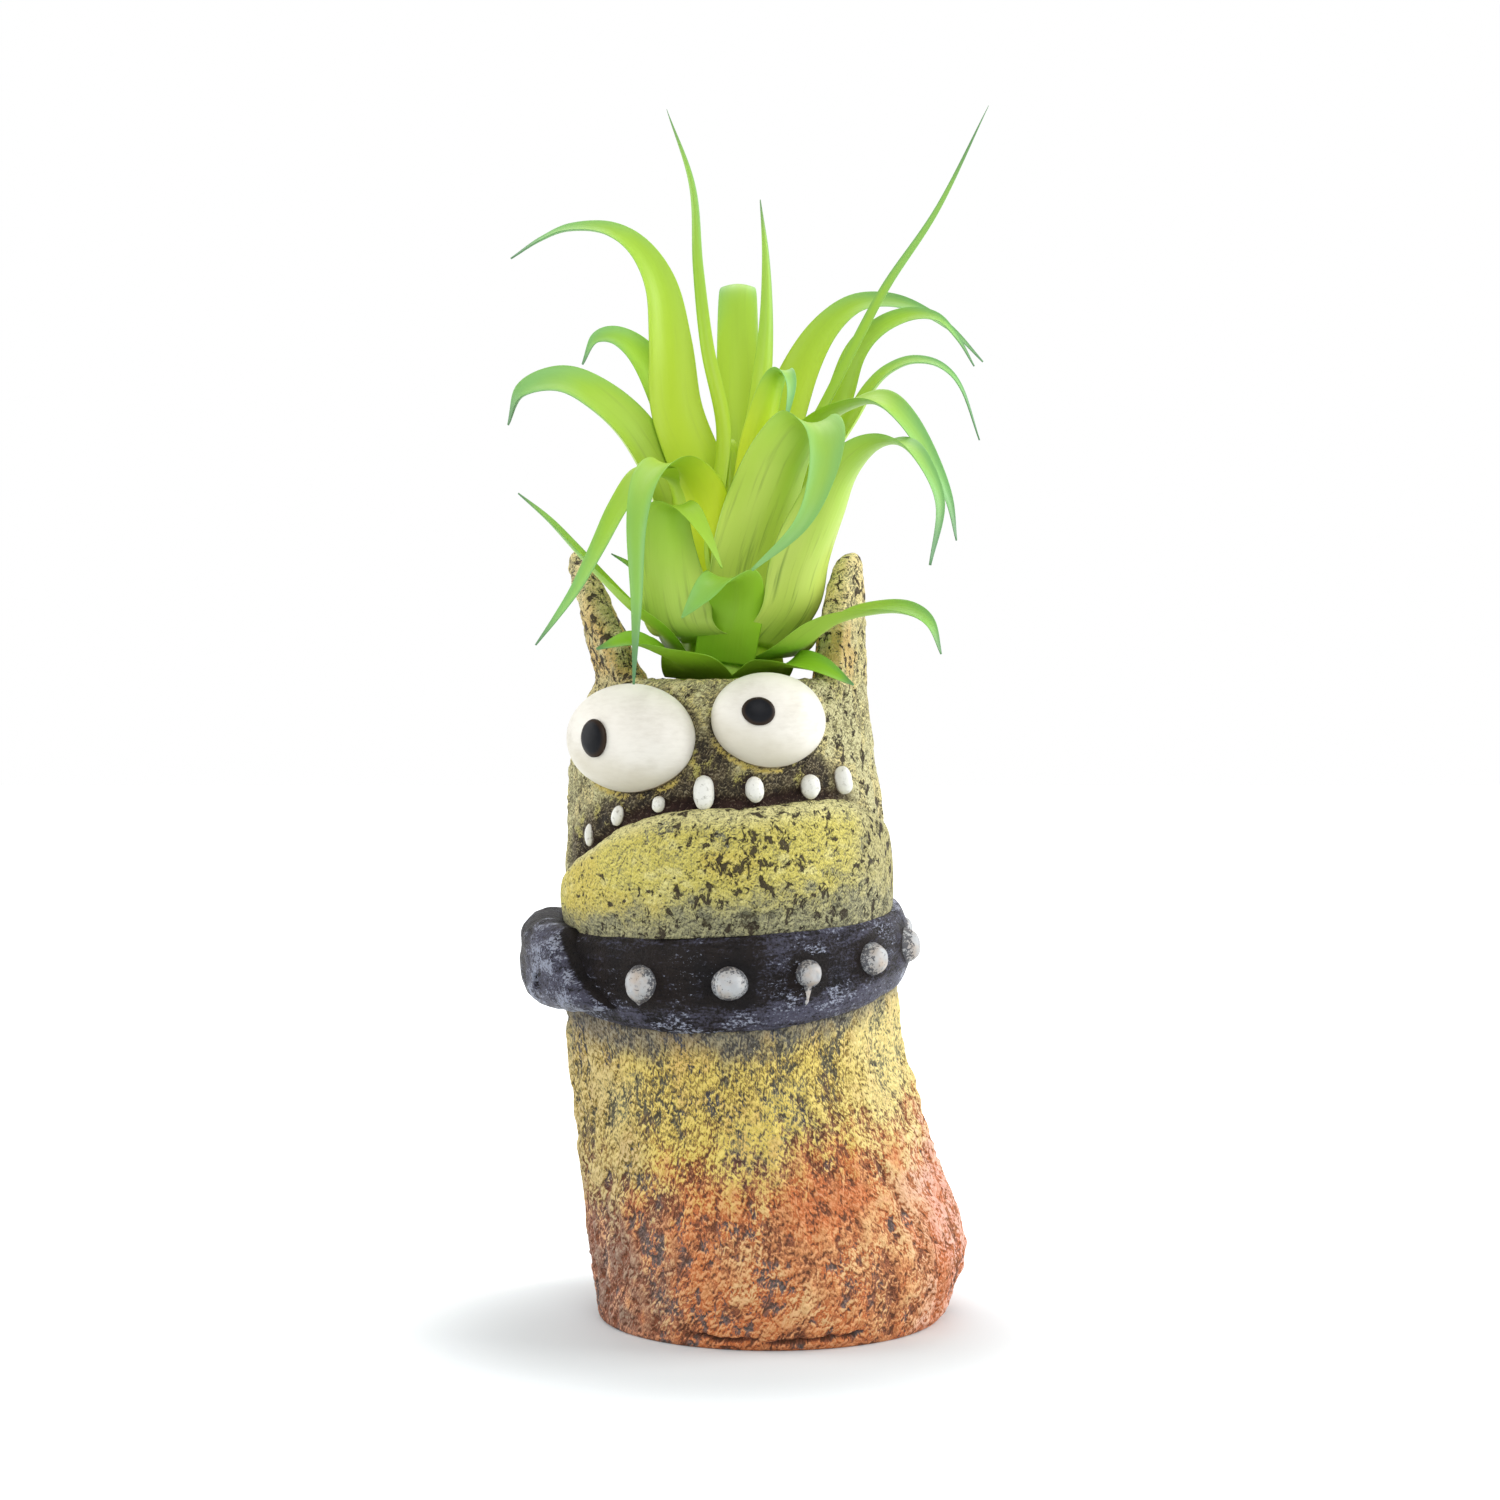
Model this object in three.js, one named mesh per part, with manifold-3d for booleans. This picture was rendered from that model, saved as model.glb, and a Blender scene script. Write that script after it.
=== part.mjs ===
// Monster planter: a hand-built pot with two ears, bulging eyes, a jutting jaw and a studded collar,
// and a leafy plant whose stem stands in a foam plug and lifts straight out.
// Millimetres, +Z up. The origin is the middle of the flat base, and the face looks along -Y.
// A turn is an angle round the pot, in degrees: 0 at the face, 90 towards +X.
import * as THREE from "three";
import { mergeVertices } from "three/addons/utils/BufferGeometryUtils.js";
import Module from "manifold-3d";

const wasm = await Module();
wasm.setup();

// Gap between two pieces that seat on each other, and the smallest detail that a cut leaves on an edge
const SEAT_GAP = 0.3;
const CLEAN_EDGE = 0.03;

// Pot: three stretches of height from the table to the low rim, and the radius and sideways shift of each
const LOWER_HEIGHT = 50;
const NECK_HEIGHT = 23.4;
const HEAD_HEIGHT = 37.6;
const WALL = 5;
const FLOOR = 8;
const BASE_RADIUS = 30;
const HEEL_HEIGHT = 13;
const HEEL_RADIUS = 32.8;
const HEEL_SHIFT = 1.3;
const CALF_HEIGHT = 30;
const CALF_RADIUS = 30.7;
const CALF_SHIFT = -2.6;
const WAIST_RADIUS = 28.8;
const WAIST_SHIFT = -6.2;
const THROAT_RADIUS = 28.2;
const THROAT_SHIFT = -7.4;
const BROW_DROP = 9;
const BROW_RADIUS = 25.9;
const BROW_SHIFT = -8.3;
const RIM_RADIUS = 23.2;
const RIM_SHIFT = -6.7;
const RIM_EDGE = 1.2;
const POT_SEGMENTS = 48;

// Ears: stretches of the wall that stand above the rim, each with a tip that flares out
const EAR_TIP_WALL = 3.6;
const EARS = [
  { turn: -90, spread: 36, height: 22, flare: 5.4, blunt: 1.6 },
  { turn: 90, spread: 39, height: 22, flare: -0.4, blunt: 5 },
];

// Mouth: the lip's height below the rim at a few turns, and the groove behind the lip
const LIP_LINE = [
  { turn: -84, drop: 36.5 },
  { turn: -65, drop: 31.4 },
  { turn: -48, drop: 27.6 },
  { turn: -34, drop: 24 },
  { turn: -18, drop: 22 },
  { turn: 10, drop: 21.4 },
  { turn: 30, drop: 20.2 },
  { turn: 48, drop: 20.3 },
  { turn: 57, drop: 20.9 },
  { turn: 68, drop: 22.9 },
  { turn: 84, drop: 25.4 },
  { turn: 102, drop: 31 },
];
const JAW_BULGE = 4.2;
const JAW_HEM = 1;
const JAW_ENDS = 0.25;
const GROOVE_START = -65;
const GROOVE_END = 54;
const GROOVE_DEPTH = 1.6;
const GROOVE_HEIGHT = 3.2;
const GROOVE_LIFT = 0.8;

// Eyes: flattened balls, with a pupil on each
const EYE_STAND = 0.8;
const EYES = [
  {
    name: "large", turn: -34.5, drop: 9.8, across: 12.3, tall: 9.1, deep: 7.3, tilt: 0,
    pupil: { across: 2.8, tall: 3.2, aim: -10, lift: 0 },
  },
  {
    name: "small", turn: 17, drop: 6.8, across: 9.8, tall: 7.9, deep: 6.4, tilt: -6,
    pupil: { across: 2.75, tall: 2.35, aim: -22, lift: 8 },
  },
];
const PUPIL_RISE = 0.7;

// Teeth: pegs along the mouth, each given by its turn, drop below the rim, half width and half height
const TOOTH_DEEP = 1.7;
const TOOTH_STAND = 0.7;
const TEETH = [
  { turn: -54.5, drop: 26.4, across: 0.9, tall: 2.1, lean: 0 },
  { turn: -39, drop: 22.9, across: 1.05, tall: 1.75, lean: -12 },
  { turn: -22.3, drop: 20.8, across: 1.15, tall: 1.4, lean: -8 },
  { turn: -6, drop: 18.8, across: 1.75, tall: 2.8, lean: 2 },
  { turn: 11.5, drop: 18.3, across: 1.55, tall: 2.15, lean: 6 },
  { turn: 32.5, drop: 17.9, across: 1.6, tall: 2.05, lean: 4 },
  { turn: 48, drop: 17, across: 1.5, tall: 2.4, lean: 14 },
];

// Collar: a padded strap that dips at the front and towards the tongue's side, and is narrower at both sides
const COLLAR_RAISE = 14.3;
const COLLAR_TILT = 1.5;
const COLLAR_SAG = 3.5;
const COLLAR_WIDTH = 16;
const COLLAR_SIDE_WIDTH = 12.6;
const COLLAR_THICK = 2.6;

// Tongue: the strap's free end, a neck under the keeper that swells to a lobe with a slanted front
const TONGUE_START = -150;
const TONGUE_NECK_END = -122;
const TONGUE_BELLY = -94;
const TONGUE_END = -49;
const TONGUE_SLANT = 12;
const TONGUE_NECK_WIDTH = 11;
const TONGUE_WIDTH = 15.2;
const TONGUE_TUCK = 3.2;
const TONGUE_NECK_THICK = 3;
const TONGUE_THICK = 5.2;
const KEEPER_THICK = 1.5;
const KEEPER_START = -146;
const KEEPER_END = -132;
const STUD_RADIUS = 2.75;
const STUD_STAND = 0.1;
const STUD_COUNT = 9;
const FIRST_STUD_TURN = -28;
const LAST_STUD_MARGIN = 24.7;

// Foam plug that holds the plant's stem
const FOAM_DROP = 18;
const STEM_RADIUS = 3;
const STEM_DEPTH = 24;
const STEM_CLEARANCE = 0.3;

// Plant: a tapered core with the leaves seated on it. Heights are counted from the low rim
const CORE_SHOULDER_RADIUS = 6;
const CORE_RADIUS = 9.6;
const CORE_MIDDLE_RADIUS = 6.4;
const CORE_MIDDLE_HEIGHT = 22;
const CORE_TIP_RADIUS = 1.6;
const CORE_HEIGHT = 42;
const LEAF_THICK = 1.1;
const LEAF_EDGE = 0.35;
const LEAF_CUP = 0.42;
const LEAF_TIP = 0.06;
const LEAF_STEPS = 11;

// Leaves: where each is seated on the core (azimuth from +X, and height), its width, the share of that
// width at its foot, how late it tapers, and the points [x, y, z] of its midrib on the way to the tip
const LEAVES = [
  { name: "rim_left", azimuth: -120, seat: 1.5, width: 11, foot: 0.95, taper: 1.3,
    spine: [[-7.5, -14, 4], [-12, -17.5, 5.8], [-17, -19.5, 6.8], [-22.5, -21, 5]] },
  { name: "rim_right", azimuth: -64, seat: 1.5, width: 8.5, foot: 0.95, taper: 1.3,
    spine: [[9, -14.5, 3.2], [15, -18.5, 2.4], [20.5, -22, -1]] },
  { name: "reach_right", azimuth: -38, seat: 4, width: 9, foot: 0.8, taper: 1.5,
    spine: [[12, -14, 5.8], [18, -21.5, 9.5], [24, -25, 11], [29, -28, 11], [32.5, -30, 9],
      [34.5, -31, 4]] },
  { name: "reach_left", azimuth: -158, seat: 4.5, width: 6.6, foot: 0.8, taper: 1.3,
    spine: [[-12, -11, 8], [-17, -16, 12], [-21.5, -18, 16.5], [-26, -20, 21.5], [-30.5, -21, 26.5],
      [-35.5, -22, 31]] },
  { name: "back_low", azimuth: 95, seat: 3, width: 7, foot: 0.8, taper: 1.6,
    spine: [[-0.5, 14, 8], [-1, 21, 10], [-1.5, 27, 7]] },
  { name: "front_small", azimuth: -97, seat: 3, width: 11.5, foot: 0.9, taper: 1.8,
    spine: [[-0.5, -13.5, 8], [0.5, -17, 13.8], [0, -21.5, 16.5], [-2.5, -26, 15.5], [-5.5, -28, 12.5],
      [-8, -29, 10]] },
  { name: "broad_right", azimuth: -55, seat: 6, width: 17.5, foot: 0.7, taper: 1,
    spine: [[10.5, -12.5, 12], [12.8, -15.5, 19], [16, -17.5, 27], [18.8, -19, 33.5], [23, -22, 38],
      [27.5, -25, 39], [31, -28, 36], [34, -31, 28.5], [32.5, -33, 18.5]] },
  { name: "upright_left", azimuth: -115, seat: 7, width: 14.5, foot: 0.85, taper: 2,
    spine: [[-7, -12, 13], [-8, -13.5, 19], [-8.5, -15, 25], [-7.5, -17, 30], [-5, -19.5, 30],
      [-3, -22, 25]] },
  { name: "short_left", azimuth: 178, seat: 9, width: 4.6, foot: 0.9, taper: 1.4,
    spine: [[-11, -4, 14], [-15, -8, 17], [-17.5, -10, 19.5], [-20.5, -11, 21.5]] },
  { name: "back_left", azimuth: 128, seat: 9, width: 11, foot: 0.7, taper: 1.4,
    spine: [[-7, 11, 18], [-9.5, 17, 27], [-11, 24, 30], [-11.5, 30, 25], [-11, 33, 17]] },
  { name: "back_right", azimuth: 55, seat: 8, width: 11, foot: 0.7, taper: 1.4,
    spine: [[7.5, 11, 17], [10, 17, 26], [12, 24, 30], [13, 30, 26], [13, 34, 17]] },
  { name: "centre_broad", azimuth: -80, seat: 12, width: 16, foot: 0.62, taper: 1.5,
    spine: [[2, -10, 19], [5, -13.5, 28], [8.5, -17, 37], [12.5, -21, 42.3], [15.5, -26, 40.5],
      [15, -30.5, 33.5], [11.5, -34, 25], [3.5, -36, 17.5]] },
  { name: "broad_left", azimuth: 145, seat: 15, width: 14, foot: 0.85, taper: 1.1,
    spine: [[-9.5, 3, 24], [-13.5, 0.5, 34.5], [-18.5, -1.5, 43], [-24.5, -3, 48.5], [-31, -4, 50.5],
      [-36, -4, 50], [-38.5, -3, 46]] },
  { name: "droop_front", azimuth: -105, seat: 15, width: 11, foot: 0.85, taper: 0.9,
    spine: [[-4, -9, 24], [-6, -12, 32], [-10, -18, 36], [-13.5, -26, 33], [-15, -33, 25],
      [-15, -37, 12], [-15.5, -39, -1]] },
  { name: "droop_left", azimuth: -140, seat: 17, width: 8, foot: 0.9, taper: 1,
    spine: [[-7.5, -7, 26], [-9.5, -11, 33.5], [-14, -17.5, 34], [-18, -22.5, 28.5], [-21.5, -26, 21.5],
      [-25, -28, 15], [-28.5, -29, 10], [-32, -30, 5.5]] },
  { name: "arch_right_front", azimuth: -42, seat: 17, width: 8.4, foot: 0.8, taper: 2,
    spine: [[7.5, -7.5, 28], [11, -10.5, 37], [15.5, -13, 43], [20.5, -15.5, 46], [25, -18, 46.5],
      [29, -20, 43], [33, -22, 36.5], [36, -23, 30], [37.5, -24, 23]] },
  { name: "arch_right_thin", azimuth: 35, seat: 18, width: 6.4, foot: 0.9, taper: 1.2,
    spine: [[11, 3.5, 29], [16.5, 2.5, 38], [21.5, 0, 45.5], [24.5, -1.5, 50.5], [27.5, -3, 53.5],
      [31.5, -4.5, 55], [36, -6, 54], [39.5, -7.5, 50], [42.5, -9.5, 41]] },
  { name: "back_broad", azimuth: 92, seat: 15, width: 12, foot: 0.65, taper: 1.4,
    spine: [[0, 10, 25], [0.5, 15, 35], [1, 22, 40], [1, 30, 37], [0.5, 35, 28], [0.5, 37, 18]] },
  { name: "arch_right_mid", azimuth: 58, seat: 20, width: 8.6, foot: 0.8, taper: 1.2,
    spine: [[9, 6.5, 31], [14.5, 8, 40], [19.5, 8.5, 49], [22.5, 8, 57.5], [26.5, 7, 62], [31.5, 5, 64],
      [36, 4, 63.5], [39.5, 3, 60], [42.5, 2, 55]] },
  { name: "hook_left", azimuth: 118, seat: 22, width: 12, foot: 0.9, taper: 1,
    spine: [[-6.5, 7, 34], [-10.5, 9, 45.5], [-15.5, 10, 56], [-20, 10, 60.5], [-24, 9, 60.5],
      [-26.5, 8, 56]] },
  { name: "centre_fold", azimuth: -75, seat: 24, width: 7, foot: 0.8, taper: 1.6,
    spine: [[3.5, -6, 35], [5.5, -7.5, 44], [7.5, -8.5, 50.8], [9, -11, 52.5], [10, -13, 49.5],
      [9, -15, 42.5]] },
  { name: "arch_right_high", azimuth: 72, seat: 25, width: 8.6, foot: 0.8, taper: 1.2,
    spine: [[6, 9, 36], [9.5, 12, 46], [13, 14.5, 55.5], [17, 16, 62.5], [22, 16.5, 67], [27.5, 16, 68],
      [33, 14, 66.5], [39, 11, 62.5], [44.5, 8, 56.5]] },
  { name: "arch_left_tall", azimuth: 105, seat: 27, width: 11.5, foot: 0.85, taper: 0.9,
    spine: [[-6.5, 4.5, 38], [-10.5, 5, 48], [-11.7, 5.5, 59.5], [-13.2, 5.5, 69], [-16.8, 5, 75.5],
      [-22, 4, 78.8], [-28.5, 3, 79], [-33.5, 2, 77], [-38.5, 0, 73.5]] },
  { name: "fold_back", azimuth: 95, seat: 28, width: 7.6, foot: 0.9, taper: 4,
    spine: [[1, 7, 40], [1, 10.5, 52], [1, 14.5, 63], [1, 18.5, 70.5], [1, 23.5, 72], [0.5, 30, 70],
      [0, 35, 63]] },
  { name: "spike_left", azimuth: -120, seat: 32, width: 3, foot: 0.95, taper: 1.2,
    spine: [[-1.6, -2.4, 44], [-4.4, -0.5, 58], [-6, 2, 72.5], [-7, 4, 87], [-11.5, 6, 102]] },
  { name: "spike_right", azimuth: 5, seat: 29, width: 3, foot: 0.95, taper: 1.2,
    spine: [[9, 0.8, 36], [13.5, 0.8, 43], [17, 0.8, 49], [22, 1, 59], [27.5, 3, 69.5], [36.5, 7, 83.5],
      [46, 12, 103.5]] },
  { name: "spike_middle", azimuth: -60, seat: 33, width: 6, foot: 0.9, taper: 1,
    spine: [[4.4, -2.2, 43], [5.6, -1.5, 53], [6.2, -0.5, 63], [6, 0.5, 74], [5, 1.5, 84.5]] },
];

const POT_HEIGHT = LOWER_HEIGHT + NECK_HEIGHT + HEAD_HEIGHT;
const BROW_HEIGHT = POT_HEIGHT - BROW_DROP;
const COLLAR_HEIGHT = LOWER_HEIGHT + COLLAR_RAISE;
const FOAM_TOP = POT_HEIGHT - FOAM_DROP;

const POT_STATIONS = [
  { at: 0, radius: BASE_RADIUS, shift: 0 },
  { at: HEEL_HEIGHT, radius: HEEL_RADIUS, shift: HEEL_SHIFT },
  { at: CALF_HEIGHT, radius: CALF_RADIUS, shift: CALF_SHIFT },
  { at: LOWER_HEIGHT, radius: WAIST_RADIUS, shift: WAIST_SHIFT },
  { at: LOWER_HEIGHT + NECK_HEIGHT, radius: THROAT_RADIUS, shift: THROAT_SHIFT },
  { at: BROW_HEIGHT, radius: BROW_RADIUS, shift: BROW_SHIFT },
  { at: POT_HEIGHT, radius: RIM_RADIUS, shift: RIM_SHIFT },
];

const CLAY = new THREE.MeshStandardMaterial({ color: 0xb5a548, roughness: 0.9, metalness: 0 });
const EYE_WHITE = new THREE.MeshStandardMaterial({ color: 0xefece2, roughness: 0.5, metalness: 0 });
const PUPIL_BLACK = new THREE.MeshStandardMaterial({ color: 0x14141a, roughness: 0.35, metalness: 0 });
const TOOTH_WHITE = new THREE.MeshStandardMaterial({ color: 0xe4e2d8, roughness: 0.6, metalness: 0 });
const COLLAR_BLACK = new THREE.MeshStandardMaterial({ color: 0x34313a, roughness: 0.6, metalness: 0 });
const STUD_GREY = new THREE.MeshStandardMaterial({ color: 0xb9b7b3, roughness: 0.5, metalness: 0.2 });
const FOAM_GREY = new THREE.MeshStandardMaterial({ color: 0x4c4a3c, roughness: 1, metalness: 0 });
const LEAF_GREEN = new THREE.MeshStandardMaterial({ color: 0x8fcf3a, roughness: 0.5, metalness: 0 });

// A smooth value at one place along stations sorted by their key, on cubic curves that pass each station.
function smoothAlong(stations, key, place, value) {
  const last = stations.length - 1;
  const found = stations.findIndex((s) => s[key] >= place);
  const right = Math.min(Math.max(found < 0 ? last : found, 1), last);
  const slopeAt = (i) => {
    const a = stations[Math.max(i - 1, 0)];
    const b = stations[Math.min(i + 1, last)];
    return (b[value] - a[value]) / (b[key] - a[key]);
  };
  const a = stations[right - 1];
  const b = stations[right];
  const span = b[key] - a[key];
  const t = THREE.MathUtils.clamp((place - a[key]) / span, 0, 1);
  const fromA = (1 + 2 * t) * (1 - t) ** 2 * a[value] + t * (1 - t) ** 2 * span * slopeAt(right - 1);
  const fromB = t * t * (3 - 2 * t) * b[value] + t * t * (t - 1) * span * slopeAt(right);
  return fromA + fromB;
}

// The ear that stands nearest to a turn, and how far across it that turn is: 0 in its middle, 1 at an edge.
function nearestEar(turn) {
  const apart = (ear) => Math.abs(((turn - ear.turn + 540) % 360) - 180) / ear.spread;
  const ear = EARS.reduce((best, next) => (apart(next) < apart(best) ? next : best));
  return { ear, across: apart(ear) };
}

function rimHeight(turn) {
  const { ear, across } = nearestEar(turn);
  const share = across < 1 ? 1 - across ** ear.blunt : 0;
  return POT_HEIGHT + ear.height * share;
}

// A point on the pot's outside, moved out by an offset. Above the rim it follows the ear's flare.
function potPoint(turn, height, offset) {
  const angle = THREE.MathUtils.degToRad(turn);
  const level = Math.min(height, POT_HEIGHT);
  const { ear } = nearestEar(turn);
  const flare = (ear.flare * Math.max(height - POT_HEIGHT, 0)) / ear.height;
  const radius = smoothAlong(POT_STATIONS, "at", level, "radius") + flare + offset;
  const shift = smoothAlong(POT_STATIONS, "at", level, "shift");
  return new THREE.Vector3(shift + radius * Math.sin(angle), -radius * Math.cos(angle), height);
}

function wallAt(turn, height) {
  const { ear } = nearestEar(turn);
  const share = Math.max(height - POT_HEIGHT, 0) / ear.height;
  return THREE.MathUtils.lerp(WALL, EAR_TIP_WALL, share);
}

const steps = (count) => Array.from({ length: count + 1 }, (_, i) => i / count);

const turnsRound = (count) => Array.from({ length: count }, (_, i) => -180 + (360 * i) / count);

// A closed body through sections of equal point count. An open run gets a fan at each end.
function loft(sections, closed = false) {
  const count = sections[0].length;
  const points = sections.flat();
  const index = [];
  const spans = closed ? sections.length : sections.length - 1;
  for (let s = 0; s < spans; s += 1) {
    const low = s * count;
    const high = ((s + 1) % sections.length) * count;
    for (let i = 0; i < count; i += 1) {
      const next = (i + 1) % count;
      index.push(low + i, low + next, high + next, low + i, high + next, high + i);
    }
  }
  if (!closed) {
    const ends = [[sections[0], 0, true], [sections.at(-1), spans * count, false]];
    for (const [section, start, flip] of ends) {
      const middle = section.reduce((sum, p) => sum.add(p), new THREE.Vector3()).divideScalar(count);
      const hub = points.push(middle) - 1;
      for (let i = 0; i < count; i += 1) {
        const next = start + ((i + 1) % count);
        index.push(...(flip ? [hub, next, start + i] : [hub, start + i, next]));
      }
    }
  }
  return new THREE.BufferGeometry().setFromPoints(points).setIndex(index);
}

// A geometry, placed by a matrix, as a solid for joining and cutting.
function solidOf(geometry, matrix = new THREE.Matrix4()) {
  const bare = geometry.clone();
  bare.deleteAttribute("normal");
  bare.deleteAttribute("uv");
  const merged = mergeVertices(bare.applyMatrix4(matrix));
  const vertProperties = new Float32Array(merged.attributes.position.array);
  const triVerts = new Uint32Array(merged.index.array);
  return new wasm.Manifold(new wasm.Mesh({ numProp: 3, vertProperties, triVerts }));
}

function geometryOf(solid) {
  const { vertProperties, triVerts } = solid.getMesh();
  return new THREE.BufferGeometry()
    .setAttribute("position", new THREE.BufferAttribute(vertProperties, 3))
    .setIndex(new THREE.BufferAttribute(triVerts, 1));
}

// Takes the other solids away from a mesh where it stands, and keeps its largest body.
function carve(mesh, others) {
  mesh.updateWorldMatrix(true, false);
  const whole = solidOf(mesh.geometry, mesh.matrixWorld);
  const left = others.reduce((kept, other) => kept.subtract(other), whole);
  const [largest] = left.decompose().sort((a, b) => b.volume() - a.volume());
  mesh.geometry = geometryOf(largest.simplify(CLEAN_EDGE)).applyMatrix4(mesh.matrixWorld.clone().invert());
  return mesh;
}

function addMesh(group, name, geometry, material) {
  const mesh = new THREE.Mesh(geometry, material);
  mesh.name = name;
  group.add(mesh);
  return mesh;
}

// Stands a mesh on the pot at a turn and height: its X runs round the pot, Y points up and Z points out.
function standOnPot(mesh, turn, height, offset, tilt = 0) {
  const angle = THREE.MathUtils.degToRad(turn);
  const across = new THREE.Vector3(Math.cos(angle), Math.sin(angle), 0);
  const out = new THREE.Vector3(Math.sin(angle), -Math.cos(angle), 0);
  const up = new THREE.Vector3(0, 0, 1);
  mesh.position.copy(potPoint(turn, height, offset));
  mesh.quaternion.setFromRotationMatrix(new THREE.Matrix4().makeBasis(across, up, out));
  mesh.rotateZ(THREE.MathUtils.degToRad(tilt));
  return mesh;
}

function ellipsoid(across, tall, deep, segments) {
  return new THREE.SphereGeometry(1, segments, segments / 2).scale(across, tall, deep);
}

// One ring of the pot: rings are even up to the brow, then take equal shares of what is left below the rim.
function potRing(share, offsetAt, browShare, floor) {
  return turnsRound(POT_SEGMENTS).map((turn) => {
    const top = rimHeight(turn) - RIM_EDGE;
    const low = floor + ((BROW_HEIGHT - floor) * share) / browShare;
    const high = BROW_HEIGHT + ((top - BROW_HEIGHT) * (share - browShare)) / (1 - browShare);
    const height = share <= browShare ? low : high;
    return potPoint(turn, height, offsetAt(turn, height));
  });
}

function makePotBody() {
  const browShare = 0.7;
  const outer = steps(20).map((share) => potRing(share, () => 0, browShare, 0));
  const inner = steps(10).map((share) => potRing(1 - share, (t, h) => -wallAt(t, h), browShare, FLOOR));
  const edge = [0.3, 0.7].map((share) =>
    turnsRound(POT_SEGMENTS).map((turn) => {
      const height = rimHeight(turn);
      return potPoint(turn, height, -share * wallAt(turn, height));
    }),
  );
  return loft([...outer, ...edge, ...inner]);
}

// The pot without its hollow, swollen by an offset and carried on above the rim, to cut what seats on it.
function swollenPot(offset) {
  const above = POT_HEIGHT + Math.max(...EARS.map((ear) => ear.height));
  const heights = [...steps(20).map((share) => share * POT_HEIGHT), above];
  const rings = heights.map((height) => {
    const level = Math.min(height, POT_HEIGHT);
    return turnsRound(POT_SEGMENTS).map((turn) => potPoint(turn, level, offset).setZ(height));
  });
  return solidOf(loft(rings));
}

const lipHeight = (turn) => POT_HEIGHT - smoothAlong(LIP_LINE, "turn", turn, "drop");

const collarMiddle = (turn) => {
  const angle = THREE.MathUtils.degToRad(turn);
  return COLLAR_HEIGHT + COLLAR_TILT * Math.sin(angle) - COLLAR_SAG * Math.cos(angle);
};

const collarHalf = (turn) => {
  const aside = Math.sin(THREE.MathUtils.degToRad(turn)) ** 2;
  return THREE.MathUtils.lerp(COLLAR_WIDTH, COLLAR_SIDE_WIDTH, aside) / 2;
};

// A tube that follows the lip just above it and thins out at both ends.
function makeMouthGroove() {
  const sections = steps(16).map((share) => {
    const turn = THREE.MathUtils.lerp(GROOVE_START, GROOVE_END, share);
    const swell = 0.35 + 0.65 * Math.sin(Math.PI * share) ** 0.5;
    const height = lipHeight(turn) + GROOVE_LIFT;
    return steps(8).slice(0, -1).map((round) => {
      const angle = -2 * Math.PI * (round + 1 / 16);
      const rise = (GROOVE_HEIGHT / 2) * swell * Math.sin(angle);
      return potPoint(turn, height + rise, GROOVE_DEPTH * swell * Math.cos(angle));
    });
  });
  return loft(sections);
}

// The jaw: a slab on the pot's front that swells towards the lip and thins at the collar and its two ends.
function makeJaw(grow) {
  const [first, last] = [LIP_LINE[0].turn, LIP_LINE.at(-1).turn];
  const rows = steps(7);
  const sections = steps(28).map((share) => {
    const turn = THREE.MathUtils.lerp(first - grow, last + grow, share);
    const ends = JAW_ENDS + (1 - JAW_ENDS) * Math.sin(Math.PI * share) ** (share < 0.5 ? 0.6 : 1.1);
    const low = collarMiddle(turn) + collarHalf(turn) + SEAT_GAP - grow;
    const high = lipHeight(turn) + grow;
    const heightOf = (row) => THREE.MathUtils.lerp(low, high, row);
    const standOf = (row) => {
      const belly = JAW_HEM + (JAW_BULGE - JAW_HEM) * Math.sin((Math.PI / 2) * Math.min(row / 0.7, 1));
      const lip = row > 0.7 ? 1 - 0.45 * ((row - 0.7) / 0.3) ** 2 : 1;
      return SEAT_GAP + belly * lip * ends + grow;
    };
    const back = rows.map((row) => potPoint(turn, heightOf(row), SEAT_GAP - grow));
    const front = rows.map((row) => potPoint(turn, heightOf(row), standOf(row))).reverse();
    return [...back, ...front];
  });
  return loft(sections);
}

// How far the collar's face stands off the pot at a share of its half width, rounded towards both edges.
const collarStand = (share) => SEAT_GAP + COLLAR_THICK * (1 - 0.55 * share ** 4);

function makeCollar(grow) {
  const rows = [-1, -0.8, -0.4, 0, 0.4, 0.8, 1];
  const sections = turnsRound(POT_SEGMENTS).map((turn) => {
    const heightOf = (row) => collarMiddle(turn) + row * (collarHalf(turn) + grow);
    const back = [-1, 1].map((row) => potPoint(turn, heightOf(row), SEAT_GAP - grow));
    const face = rows.map((row) => potPoint(turn, heightOf(row), collarStand(row) + grow)).reverse();
    return [...back, ...face];
  });
  return loft(sections, true);
}

// How far the tongue has swollen from its neck to its lobe, from 0 to 1.
const tongueSwell = (turn) => THREE.MathUtils.smoothstep(turn, TONGUE_NECK_END, TONGUE_BELLY);

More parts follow.
